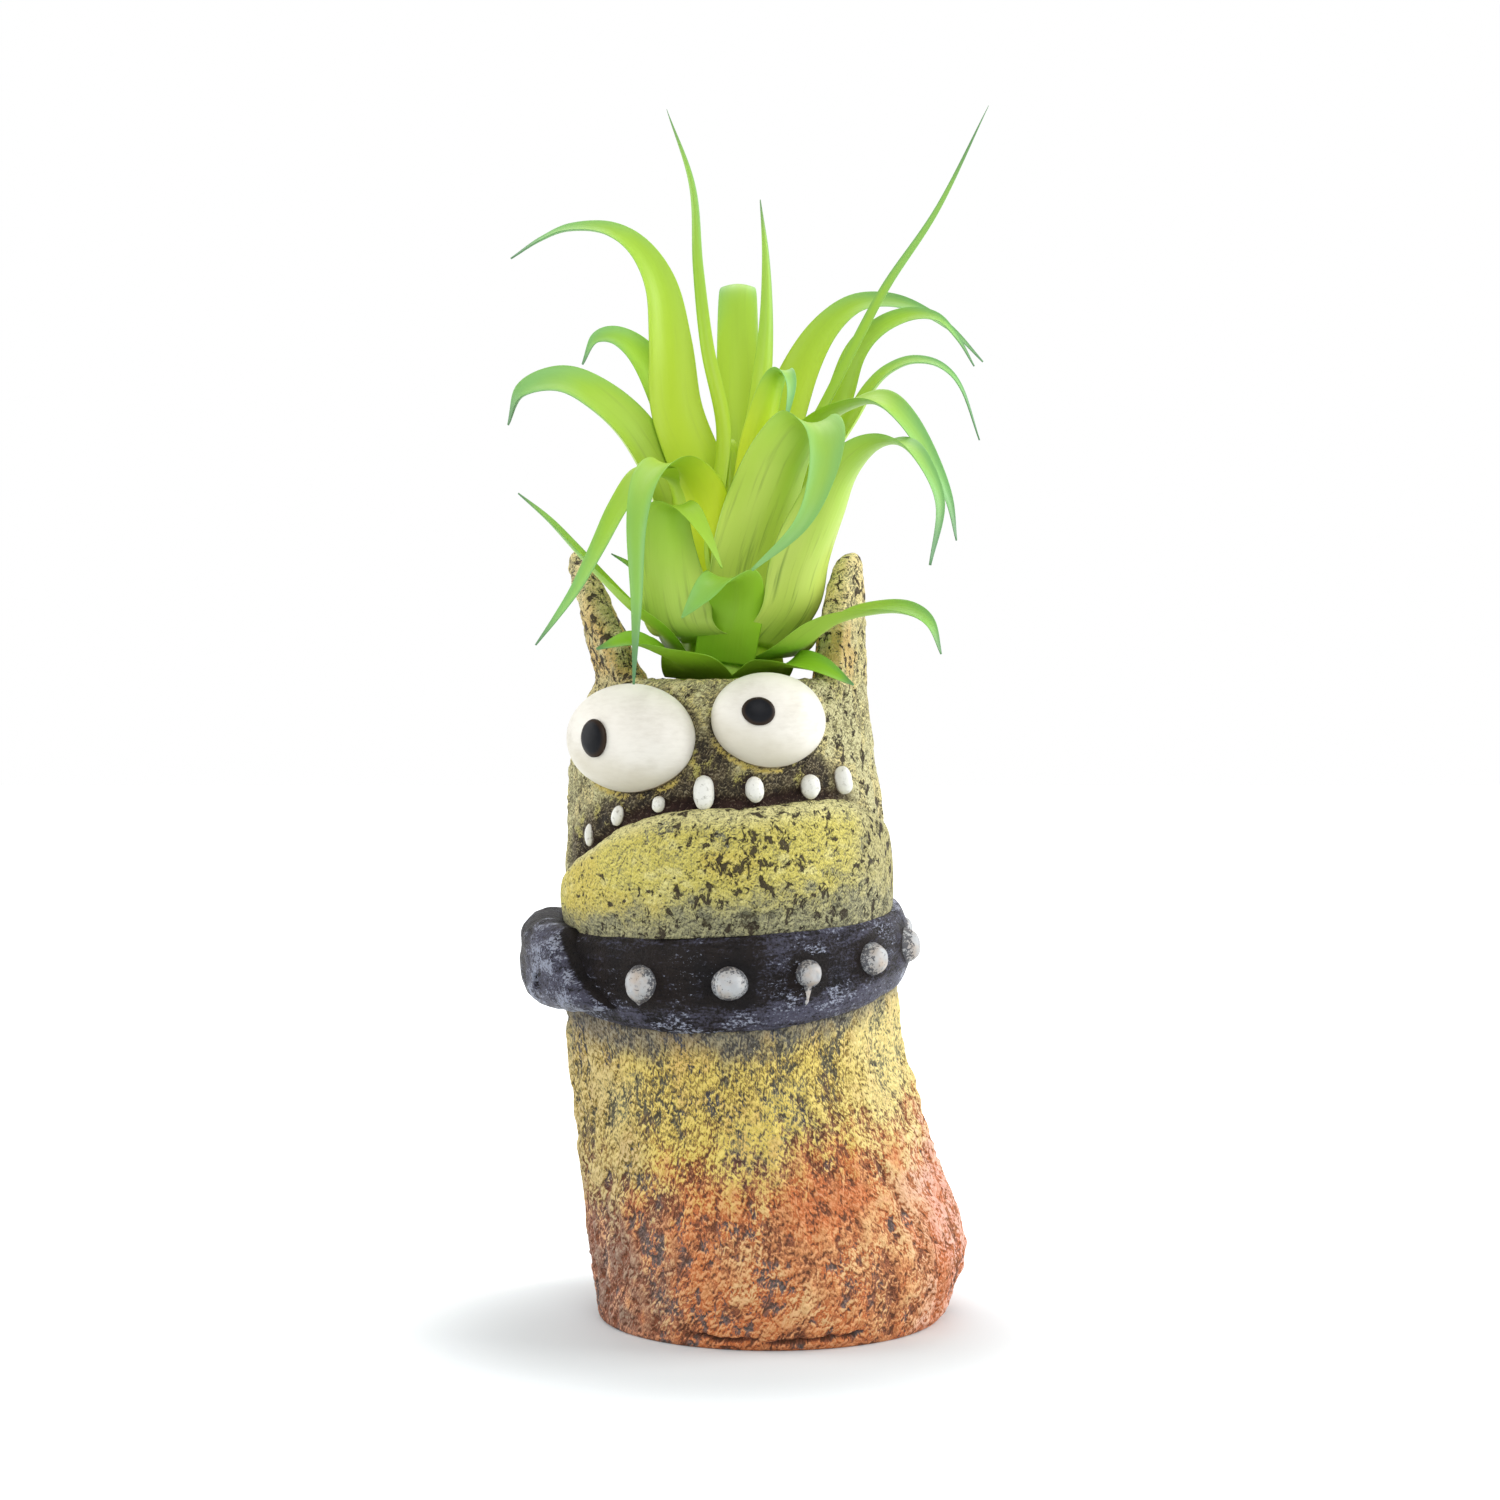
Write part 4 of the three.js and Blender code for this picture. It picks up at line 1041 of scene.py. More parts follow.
@dataclass
class PotPaint:
    """The pot's coats, their colours and the heights between which they change."""

    marks: Marks
    yellow: Colour = tint("e2c862")
    gold: Colour = tint("d8b064")
    sand: Colour = tint("cbb48a")
    pale: Colour = tint("efdc9c")
    cream: Colour = tint("cdc592")
    peach: Colour = tint("d8935c")
    tan: Colour = tint("dfb078")
    salmon: Colour = tint("dc946e")
    pink: Colour = tint("e8b2a0")
    rust: Colour = tint("cc7444")
    clay: Colour = tint("bd7a50")
    ochre: Colour = tint("b09652")
    brown: Colour = tint("91583e")
    mauve: Colour = tint("7a6a66")
    slate: Colour = tint("6f6a56")
    olive: Colour = tint("7d765a")
    khaki: Colour = tint("9f9870")
    steel: Colour = tint("5c5d66")
    charcoal: Colour = tint("3a342c")
    moss: Colour = tint("a89f52")
    drab: Colour = tint("645842")
    maroon: Colour = tint("3a2422")
    warm_at: Span = (34, 20)
    coal_at: Span = (39, 25)
    ember_at: Span = (42, 28)
    head_at: Span = (71, 76)
    ears_at: Span = (108, 114)
    tips_at: Span = (119, 128)
    coats: Coats = field(init=False)

    def lanes(self, relief: Array, deep: Array) -> Lane:
        """Lays the coats, zone by zone.

        Args:
            relief: how far the texture stands up, about -1 to 1.
            deep: depth of the mouth groove, from 0 to 1.

        Returns:
            The lanes high, middle, low, cover, relief, holes and grit.
        """
        self.body()
        m, coats = self.marks, self.coats
        warm = self.orange()
        head, tall = self.head()
        dark = self.shadow()
        self.smear()
        # Dark maroon in the mouth groove and round the teeth: partly a wash and partly painted shade of the
        # recesses
        teeth = np.max([ease(tooth.depth_of(m.grid), 1.5, 1.05) for tooth in TEETH], axis=0)
        wash_and_shade = np.maximum(deep, teeth * 0.7)
        under = np.array(self.maroon) * 0.6
        coats.over((self.maroon, self.maroon, under), (wash_and_shade * 0.9, wash_and_shade * 0.9, wash_and_shade))
        # The foot: a warm lip under the crack
        coats.high = blend(coats.high, self.rust, ease(m.height, 2.6, 0.8) * 0.55)
        holes = -1.4 + 0.8 * m.patch + 1.75 * head * (1 - dark) + 0.25 * tall - 0.8 * warm
        grit = 1 - 0.2 * head - 0.2 * wash_and_shade - 0.2 * tall - 0.15 * warm
        return coats.lanes(relief=relief, holes=holes, grit=grit)

    def body(self) -> None:
        """Lays the body's coats: paler towards the heel's side, sandier towards the strap end's, partly tone
        and partly painted light on the heel's side and painted shade on the other.
        """
        m = self.marks
        high = blend(self.yellow, self.gold, ease(m.fleck + 0.6 * m.patch, 0.1, 0.6) * 0.7)
        high = blend(high, self.pale, m.right * 0.55)
        high = blend(high, self.sand, m.left * 0.6)
        middle = blend(self.ochre, self.khaki, ease(m.wide - 0.5 * m.fleck, -0.2, 0.3))
        low = blend(self.slate, self.steel, ease(m.patch + 0.5 * m.fleck, 0.0, 0.4))
        cover = 0.2 + 0.8 * m.stroke + 0.35 * m.patch + 0.2 * m.right - 0.22 * m.left
        self.coats = Coats(high, middle, low, cover)

    def orange(self) -> Array:
        """Lays orange under a ragged border: the hollows turn first and the ridges last.

        Returns:
            1 where the ridges are orange and 0 elsewhere.
        """
        m, coats = self.marks, self.coats
        border = m.height - 7 * m.sine + 4 * m.patch + 6 * m.fleck + 4 * m.speck
        warm = ease(border, *self.warm_at)
        fire = blend(self.peach, self.tan, ease(m.patch + 0.4 * m.fleck, -0.15, 0.35))
        fire = blend(fire, self.rust, ease(m.wide - 0.6 * m.patch + 0.3 * m.fleck, 0.05, 0.4) * 0.6)
        fire = blend(fire, self.salmon, ease(m.wide + 0.5 * m.fleck, 0.25, 0.6))
        # Pink on both flanks, more on the heel's side: partly tone and partly a painted highlight; mauve on
        # the strap end's side is partly painted shade
        flank = ease(np.abs(m.sine) + 0.2 * m.patch, 0.7, 1)
        fire = blend(fire, self.pink, flank * (0.35 + 0.6 * (m.sine > 0)))
        fire = blend(fire, self.mauve, m.left * ease(m.patch - m.fleck, -0.25, 0.3) * 0.7)
        coal = blend(self.rust, self.clay, ease(m.patch - m.fleck, -0.2, 0.4))
        coal = blend(coal, self.mauve, m.left * 0.6)
        ember = blend(self.brown, self.mauve, ease(m.fleck - 0.6 * m.wide, 0.05, 0.4))
        shares = warm, ease(border, *self.coal_at), ease(border, *self.ember_at)
        coats.over((fire, coal, ember), shares)
        thinner = (0.35 * m.wide - 0.25 * m.stroke - 0.3 * m.left - 0.32) * warm
        coats.cover = coats.cover + thinner - 0.12 * ease(np.abs(border - 32), 9, 3)
        return warm

    def head(self) -> tuple[Array, Array]:
        """Lays pale paint on the head, gold inside it and on the ears.

        Returns:
            1 on the head and 0 below it, and the same for the ears.
        """
        m, coats = self.marks, self.coats
        head, tall = ease(m.height, *self.head_at), ease(m.height, *self.ears_at)
        cream = head * (0.8 + 0.2 * np.sign(m.fleck))
        coats.over((self.cream, self.khaki, self.olive), (cream, head, head))
        coats.cover = coats.cover + (0.4 + m.patch + 0.7 * m.fleck - coats.cover) * head + 0.35 * tall
        inside = np.clip(1 - m.skin, 0, 1) * (m.height > 70)
        high = blend(coats.high, self.gold, ease(inside + 0.3 * m.patch, 0.1, 0.5))
        high = blend(high, self.gold, 0.7 * tall * ease(m.patch + 0.5 * m.fleck, 0, 0.35))
        coats.high = blend(high, self.pale, 0.7 * ease(m.height + 3 * m.fleck, *self.tips_at))
        return head, tall

    def shadow(self) -> Array:
        """Lays painted shade: a dark band by the collar for its shadow, and dark paint by the mouth and round
        the eyes, partly a dark wash and partly the shade of those recesses.

        Returns:
            1 where the face is dark and 0 elsewhere.
        """
        m, coats = self.marks, self.coats
        # Painted shadow of the collar: steel grey above and below it, fading away from its edges
        gap = np.abs(m.height - FORM.collar(m.turn)) - FORM.collar_half(m.turn)
        wash = ease(gap + 1.8 * m.patch + 2 * m.fleck + 1.5 * m.sine, 6.5, 0.8)
        coats.over((self.steel, self.steel, self.steel), (wash * 0.75, wash * 0.6, wash * 0.5))
        # The mouth and the bridge between the eyes: dark paint, partly a wash and partly painted shade of the
        # recess
        above_lip = ease(m.rise, -2, 0.5)
        mouth = ease(m.rise + 2.5 * m.patch, 9, 5) * above_lip
        mouth *= ease(m.turn, -82, -66) * ease(m.turn + 10 * m.patch, 60, 44)
        bridge = ease(np.abs(m.turn + 4), 13, 5) * ease(m.height + 2 * m.patch, 106, 99) * above_lip
        # Rings round the eyes where they meet the clay: dark paint, partly a wash and partly painted shade
        sockets = [0.85 * ease(eye.depth_of(m.grid), 1.2, 1.03) * (m.skin > 0.8) for eye in EYES]
        dark = np.max([mouth, bridge, *sockets], axis=0)
        dabs = ease(m.fleck + 0.4 * m.speck, 0.1, 0.35) * ease(m.rise, 1.5, 4)
        shade = blend(self.drab, self.moss, dabs)
        middle, low = np.array(self.drab) * 0.5, np.array(self.charcoal) * 0.45
        coats.over((shade, middle, low), (dark * 0.97, dark, dark))
        coats.cover = (coats.cover - 0.6 * wash) * (1 - dark) + (1.05 * dabs - 0.4) * dark
        return dark

    def smear(self) -> None:
        """Lays a broken yellow line below each eye, just outside its seam."""
        m, coats = self.marks, self.coats
        for eye in EYES:
            seam = ease(np.abs(eye.depth_of(m.grid) - 1.07), 0.07, 0.02)
            below = ease(m.height - FORM.rim + eye.drop, -2, -5)
            smear = seam * below * ease(m.patch + 0.5 * m.fleck, -0.15, 0.15) * (m.skin > 0.8)
            coats.high = blend(coats.high, np.array(self.yellow) * 0.85, smear * 0.9)
            coats.cover = coats.cover + 1.5 * smear


@dataclass
class PotBody:
    """The tube with its floor, rim, ears, mouth groove and all its hand-worked texture."""

    finish: Material
    columns: int = 372
    foot_rows: tuple[float, float, int] = (1.0, 6.5, 18)
    wall_rows: tuple[float, float, int] = (7.1, FORM.brow, 152)
    brow_rows: int = 46
    rim_rows: int = 11
    inner_rows: int = 24
    base_round: float = 0.8
    rim_round: float = 2.2
    inner_low: float = 88
    hidden_heights: Span = (60, 30)
    groove_depth: float = 1.6
    groove_half: float = 1.6
    groove_lift: float = 0.8
    lump: float = 17
    bark: Point = (2.2, 2.2, 5)
    knob: float = 1.5
    pit: float = 2.7
    small_pit: float = 1.6
    ragged: float = 2.2
    lay_start: float = 30
    lay_bend: float = 64
    creases: tuple[Crease, ...] = (
        Crease((-27, -16, -6), (2.3, 1.9, 2.0), 1.5, 0.4),
        Crease((-2, 12, 29), (1.6, 1.9, 2.6), 1.3, 0.36),
        Crease((-78, -66, -50), (30, 24, 14), 0.5, 0.9),
        Crease((-70, -58, -44), (22, 17, 9), 0.35, 0.7),
    )
    lanes: Lane = field(default_factory=dict)

    def shell(self) -> tuple[Array, Array]:
        """The plain shell, from the middle of the base up the outside, over the rim and down to the floor.

        Returns:
            The grid, and a lane that is 1 outside, falls over the rim, and is 0 on the hidden rows.
        """
        turn = turns_round(self.columns)
        top = FORM.top(turn)
        wall = FORM.wall_at(turn, top)
        shoulder = top - self.rim_round
        rings, share = [], []

        def ring(height: Any, offset: Any, weight: float) -> None:
            """Adds one ring of the shell."""
            rings.append(FORM.point(turn, height, offset))
            share.append(weight)

        for part in (0.35, 0.75, 0.97):
            ring(0, (part - 1) * FORM.radii[0] - self.base_round * part, 0)
        for angle in np.linspace(0, math.pi / 2, 5)[1:]:
            ring(self.base_round * (1 - math.cos(angle)), self.base_round * (math.sin(angle) - 1), 0.35)
        for height in np.r_[np.linspace(*self.foot_rows), np.linspace(*self.wall_rows)]:
            ring(height, 0, 1)
        for part in np.linspace(0, 1, self.brow_rows)[1:]:
            ring(FORM.brow + (shoulder - FORM.brow) * part, 0, 1)
        for angle in np.linspace(0, math.pi, self.rim_rows)[1:]:
            ring(shoulder + self.rim_round * math.sin(angle), wall / 2 * (math.cos(angle) - 1), 0.9)
        for part in np.linspace(0, 1, self.inner_rows)[1:]:
            height = shoulder + (self.inner_low - shoulder) * part
            ring(height, -FORM.wall_at(turn, height), 0.5)
        for height in (*self.hidden_heights, FORM.floor):
            ring(height, -FORM.wall, 0)
        for part in (0.7, 0.3):
            ring(FORM.floor, -FORM.wall - (1 - part) * (FORM.radii[1] - FORM.wall), 0)
        return np.stack(rings), np.broadcast_to(np.array(share)[:, None], (len(share), self.columns))

    def build(self) -> Array:
        """The worked shell: lumps, upright bark, knobs and pits stand along the normals of the plain shell.

        Returns:
            The grid; its paint lanes are kept for the mesh.
        """
        grid, skin = self.shell()
        normal = outward_normals(grid, skin == 1)
        turn = np.degrees(np.arctan2(grid[..., 0] - FORM.shift(grid[..., 2]), -grid[..., 1]))
        height = grid[..., 2]
        outside = (skin == 1).astype(float)
        lay = self.lay(grid, turn)
        texture = self.texture(lay, turn, height)
        ragged = 0.22 * Grain.rough(grid / self.ragged, 2, 61)
        pressed = sum(crease.press(turn, height, ragged) for crease in self.creases)
        groove = self.groove(turn, height) * outside
        covered = self.covered(turn, height) * outside
        worked = (0.5 * Grain.rough(grid / self.lump, 2, 3) + texture) * (1 - covered) - 0.25 * covered
        low_edge = ease(height, 0.2, 2.4)
        offset = skin * (worked * low_edge - groove) - pressed * outside
        relief = even(texture, outside > 0) - 4 * pressed
        deep = np.clip(groove / self.groove_depth, 0, 1)
        self.lanes = PotPaint(Marks(grid, turn, skin)).lanes(relief, deep)
        self.lanes["lay"] = lay
        return grid + normal * offset[..., None]

    def texture(self, lay: Array, turn: Array, height: Array) -> Array:
        """The clay's texture: folds of noise for bark, knobs of noise and two sizes of pits.

        Args:
            lay: places for its marks.
            turn: turn of each point.
            height: height of each point.

        Returns:
            How far it stands up, more at the sides and less on the head.
        """
        bark = 1 - 2.2 * np.abs(Grain.rough(lay / self.bark, 2, 11))
        knobs = Grain.rough(lay / self.knob, 2, 23)
        pits = Grain.pits(lay / self.pit, 0.5, 31)
        small = Grain.pits(lay / self.small_pit, 0.4, 47)
        flank = ease(np.abs(np.sin(np.radians(turn))), 0.45, 0.95)
        rough = 0.6 + 0.4 * ease(height, 70, 52)
        return rough * ((0.3 + 0.2 * flank) * bark + 0.55 * knobs) - 0.4 * pits - 0.25 * small

    def covered(self, turn: Array, height: Array) -> Array:
        """Where the collar and the jaw lie on the clay.

        Args:
            turn: turn of each point.
            height: height of each point.

        Returns:
            1 under them and 0 elsewhere, with soft edges.
        """
        collar = ease(np.abs(height - FORM.collar(turn)) - FORM.collar_half(turn), 0.2, -1.2)
        lip = FORM.lip(turn)
        jaw = ease(turn, -88, -80) * ease(turn, 106, 96) * ease(height, lip + 0.5, lip - 1)
        return np.maximum(collar, jaw * ease(height, 58, 66))

    def lay(self, grid: Array, turn: Array) -> Array:
        """Places for marks that run up the pot and slant to one side of its face.

        Args:
            grid: the plain shell.
            turn: turn of each point.

        Returns:
            Points round a cylinder, turned by the slant times the height, and pressed to half on the body.
        """
        height = grid[..., 2]
        slant = 0.35 * np.sin(np.radians(turn - 10)) * ease(height, 60, 40)
        angle = np.radians(turn) + slant * (height - self.lay_start) / FORM.mean_radius
        reach = FORM.mean_radius + FORM.clearance(grid)
        above = height - self.lay_bend
        pressed = 0.5 * height + 0.22 * (above + np.sqrt(above * above + 60))
        return np.stack([reach * np.sin(angle), -reach * np.cos(angle), pressed], -1)

    def groove(self, turn: Array, height: Array) -> Array:
        """The mouth groove.

        Args:
            turn: turn of each point.
            height: height of each point.

        Returns:
            Its depth: half an ellipse that follows the lip and thins at both ends.
        """
        first, last = FORM.mouth
        share = np.clip((turn - first) / (last - first), 0, 1)
        swell = (0.35 + 0.65 * np.sin(np.pi * share) ** 0.5) * ((share > 0) & (share < 1))
        away = (height - FORM.lip(turn) - self.groove_lift) / (self.groove_half * np.maximum(swell, 1e-3))
        return self.groove_depth * swell * np.sqrt(np.clip(1 - away * away, 0, 1))

    def dress(self) -> None:
        """Makes the pot's mesh and gives it its paint."""
        grid = self.build()
        settle(weld("painted_pot", grid, self.lanes), self.finish, Body.POT, Slot.CLAY, "pot_body")


@dataclass
class Jaw:
    """The slab laid on the front, from the rolled lip down to the collar."""

    finish: Material
    along: int = 250
    front: int = 74
    lip_rows: int = 14
    back: int = 12
    hem: float = 1.0
    bulge: float = 4.2
    sunk: float = -1.2
    tuck: float = 0.3
    belly: float = 0.7
    roll: float = 0.86
    wave: float = 9
    lump: float = 9
    knob: float = 2.0
    bend: float = 1.6
    pit: float = 4.2
    small_pit: float = 1.9
    patch: float = 8
    fleck: float = 2.2
    yellow: Colour = tint("d1c35e")
    gold: Colour = tint("d2b752")
    pale: Colour = tint("e6dfa6")
    olive: Colour = tint("8d8b70")
    khaki: Colour = tint("b9b07e")
    shade: Colour = tint("625c44")
    lanes: Lane = field(default_factory=dict)

    def slab(self) -> tuple[Array, Array, Array]:
        """The plain slab: its stand swells as a sine up to the lip, which rolls over as a quarter ellipse.

        Returns:
            The grid, the share of the way up at each point, and each section's swell, 0 at both ends.
        """
        share = np.linspace(0, 1, self.along)[:, None]
        turn = FORM.lip_turns[0] + (FORM.lip_turns[-1] - FORM.lip_turns[0]) * share
        curl = np.sin(np.linspace(0, np.pi / 2, self.lip_rows + 1)[1:])
        row = np.r_[np.linspace(0, self.roll, self.front - self.lip_rows), self.roll + (1 - self.roll) * curl]
        ends = np.sin(np.pi * np.clip(share, 0.004, 0.996)) ** np.where(share < 0.5, 0.6, 1.1)
        low = FORM.collar(turn) + FORM.collar_half(turn) - self.tuck
        high = FORM.lip(turn)
        belly = self.hem + (self.bulge - self.hem) * np.sin(np.pi / 2 * np.minimum(row / self.belly, 1))
        lip = 1 - 0.3 * (np.maximum(row - self.belly, 0) / (1 - self.belly)) ** 2
        roll = np.sqrt(np.clip(1 - (np.maximum(row - self.roll, 0) / (1 - self.roll)) ** 2, 0, 1))
        wave = 1 + 0.07 * Grain.rough(np.stack([turn / self.wave, turn * 0, turn * 0], -1), 2, 5)
        stand = 0.2 + belly * lip * ends * wave * roll
        face = FORM.point(turn, low + (high - low) * row, stand)
        behind = np.linspace(1, 0, self.back)
        rear = FORM.point(turn, low + (high - low) * behind * 0.985, self.sunk)
        rows = np.r_[row, behind][None, :] * np.ones_like(share)
        return np.hstack([face, rear]), rows, ends

    def build(self) -> Array:
        """The worked slab: lumps, knobs and two sizes of ragged pits stand along the plain slab's normals.

        Returns:
            The grid; its paint lanes are kept for the mesh.
        """
        grid, rows, ends = self.slab()
        normal = outward_normals(grid, np.s_[:, :self.front])
        front = ease(rows, 0, 0.06) * (np.arange(rows.shape[1]) < self.front)
        lumps = Grain.rough(grid / self.lump, 3, 105)
        knobs = Grain.rough(grid / self.knob, 2, 113)
        bent = grid + 0.9 * np.stack([Grain.rough(grid / self.bend, 2, 117 + k) for k in range(3)], -1)
        pits = Grain.pits(bent / self.pit, 0.5, 121)
        small = Grain.pits(bent / self.small_pit, 0.42, 131)
        aside = grid[..., 0] + 6 * Grain.rough(grid / self.lump, 2, 139)
        ripe = 0.58 + 0.42 * ease(aside, -26, -10) * ease(aside, 26, 14)
        offset = 0.45 * lumps + 0.16 * knobs - ripe * (0.7 * pits + 0.4 * small)
        relief = 0.7 + 0.5 * knobs - ripe * (3.6 * ease(pits, 0.1, 0.5) + 2.6 * ease(small, 0.15, 0.55))
        self.lanes = self.paint(grid, rows, relief, ripe)
        self.lanes["lay"] = grid * (1, 1, 0.8)
        return grid + normal * (front * offset * np.minimum(ends * 1.5, 1))[..., None]

    def paint(self, grid: Array, row: Array, relief: Array, ripe: Array) -> Lane:
        """Lays yellow, golden at one side, paler on the lip, olive towards the collar and dark in the pits.
        The pale lip is partly a painted highlight, and the olive by the collar partly its painted shade.

        Args:
            grid: the plain slab.
            row: the share of the way up at each point.
            relief: how far the texture stands up.
            ripe: how far the pits are open, from 0 to 1.

        Returns:
            The lanes high, middle, low, cover, relief, holes and grit.
        """
        aside = grid[..., 0]
        patch = Grain.rough(grid / self.patch, 3, 141)
        fleck = Grain.rough(grid / self.fleck, 3, 149)
        high = blend(self.yellow, self.gold, ease(patch - aside / 90, 0.1, 0.6) * 0.4)
        # Paler on the lip's upper roll: partly dry-brush and partly a painted highlight
        high = blend(high, self.pale, np.maximum(ease(row, 0.8, 0.98), ease(fleck, 0.2, 0.6) * 0.5) * 0.7)
        # hem: olive towards the collar, partly painted shade of the collar
        hem = ease(row + 0.16 * patch + 0.16 * fleck, 0.46, 0.1)
        high = blend(high, self.olive, hem * 0.8)
        high = blend(high, self.khaki, ease(aside + 5 * patch, 9, 17) * 0.8)
        middle = blend(blend(high, self.olive, 0.45), self.olive, hem * 0.6)
        low = blend(self.olive, self.shade, ease(fleck, -0.2, 0.4))
        coats = Coats(high, middle, low, 0.66 + 0.8 * patch + 0.6 * fleck - 0.95 * hem)
        return coats.lanes(relief=relief, holes=-0.72 + 1.4 * ripe + patch, grit=0.8 + 0.15 * ripe)

    def dress(self) -> None:
        """Makes the jaw's mesh and gives it its paint."""
        grid = self.build()
        settle(weld("painted_jaw", grid, self.lanes), self.finish, Body.POT, Slot.CLAY, "lower_jaw")


def signed_power(value: Array, power: Any) -> Array:
    """Values raised to a power with their signs kept, which squares a circle's corners."""
    return np.sign(value) * np.abs(value) ** power


def sphere(rows: int, columns: int) -> Array:
    """A grid on a ball of radius 1 whose pole looks along its third axis.

    Args:
        rows: rings from pole to pole.
        columns: points in a ring.

    Returns:
        Points (sin a cos b, sin a sin b, cos a) for angles a from the pole and b round it.
    """
    polar = np.linspace(0.02, math.pi - 0.02, rows)[:, None]
    azimuth = 2 * math.pi * np.arange(columns)[None, :] / columns
    axes = np.sin(polar) * np.cos(azimuth), np.sin(polar) * np.sin(azimuth), np.cos(polar)
    return np.stack(np.broadcast_arrays(*axes), -1)


@dataclass
class Face:
    """Eyes, pupils and teeth."""

    white: Material
    black: Material
    enamel: Material
    eye_grid: tuple[int, int] = (64, 96)
    pupil_grid: tuple[int, int] = (28, 56)
    tooth_grid: tuple[int, int] = (30, 40)
    sunk: float = 1.2
    pupil_rise: float = 1.0
    gum: float = 1.1
    small_gum: float = 0.9
    small_turn: float = -20

    def eye(self, eye: Eye) -> None:
        """Makes an eye: a ball scaled by three radii, its back laid along the wall.

        Args:
            eye: which eye.
        """
        middle, axes = eye.frame()
        round_ball = sphere(*self.eye_grid)
        lumps = 1 + 0.012 * Grain.rough(round_ball * 1.7, 2, 7)
        grid = middle + (round_ball * eye.radii * lumps[..., None]) @ axes
        outward = FORM.from_axis(grid)
        reach = np.maximum(np.linalg.norm(outward, axis=-1), 1e-6)
        push = np.maximum(-self.sunk - FORM.clearance(grid), 0) / reach
        grid = grid + outward * push[..., None]
        edge = ease(FORM.clearance(grid), 1.5, 0.5)
        # under: 1 on the eye's lower side, for its painted shade
        under = ease(round_ball[..., 1] + 0.3 * round_ball[..., 0], 0.1, -0.9)
        piece = weld(f"{eye.name}_eye_ball", grid, {"edge": edge, "under": under})
        settle(piece, self.white, Body.POT, Slot.EYE, f"{eye.name}_eye")

    def pupil(self, eye: Eye) -> None:
        """Makes a pupil: a flat ball whose pole follows the eye's normal where the eye looks.

        Args:
            eye: the eye that it lies on.
        """
        middle, axes = eye.frame()
        aim, lift = math.radians(eye.aim), math.radians(eye.lift)
        radii = np.array(eye.radii)
        look = np.array([math.sin(aim), math.sin(lift), math.cos(aim) * math.cos(lift)])
        facing = unit(look / radii)
        side = unit(np.cross((0, 1, 0), facing))
        own = np.array([side, np.cross(facing, side), facing])
        round_ball = sphere(*self.pupil_grid)
        wobble = 1 + 0.035 * Grain.rough(round_ball * 1.3 + 5, 2, 9 + len(eye.name))
        uneven = np.stack([wobble, wobble, np.ones_like(wobble)], -1)
        local = round_ball * (*eye.pupil, self.pupil_rise) * uneven
        grid = middle + (look * radii + local @ own) @ axes
        piece = weld(f"{eye.name}_pupil_dome", grid, {"edge": np.linalg.norm(round_ball[..., :2], axis=-1)})
        settle(piece, self.black, Body.POT, Slot.PUPIL, f"{eye.name}_pupil")

    def tooth(self, tooth: Knob, number: int) -> None:
        """Makes a tooth: a ball scaled to a peg, with worn lumps and a squarer end.

        Args:
            tooth: which tooth.
            number: its number, from 1.
        """
        middle, axes = tooth.frame()
        round_ball = sphere(*self.tooth_grid)
        worn = 1 + 0.09 * Grain.rough(round_ball * 1.4 + 11 * number, 3, 200 + number)
        square = signed_power(round_ball, (1, 0.86, 1))
        grid = middle + (square * tooth.radii * worn[..., None]) @ axes
        # edge: 1 where the tooth meets the clay, for the stain and painted shade at the gum
        small_gum = max(tooth.stand + tooth.radii[2] - self.small_gum, self.gum)
        gum = small_gum if tooth.turn < self.small_turn else self.gum
        piece = weld(f"tooth_peg_{number}", grid, {"edge": ease(FORM.clearance(grid), gum, 0)})
        settle(piece, self.enamel, Body.POT, Slot.TOOTH, f"tooth_{number}")

    def dress(self) -> None:
        """Makes every eye, pupil and tooth."""
        for eye in EYES:
            self.eye(eye)
            self.pupil(eye)
        for number, tooth in enumerate(TEETH, 1):
            self.tooth(tooth, number)


@dataclass(frozen=True)
class Stud:
    """A stud: its turn, rise from the strap's middle, half sizes and the strength of the run below it."""

    turn: float
    rise: float = 0
    across: float = 2.75
    tall: float = 2.75
    run: float = 0


STUDS = (
    Stud(-28, 0, 2.75, 3.15, 0.12),
    Stud(0.2, 0, 3.1, 2.75),
    Stud(25, 0.5, 2.2, 2.35, 1.3),
    Stud(50.7, 0.8, 2.75, 2.95),
    Stud(77.8, 0, 2.75, 2.95),
    Stud(105.3),
    Stud(132, run=0.6),
    Stud(158.7),
    Stud(185.3),
)


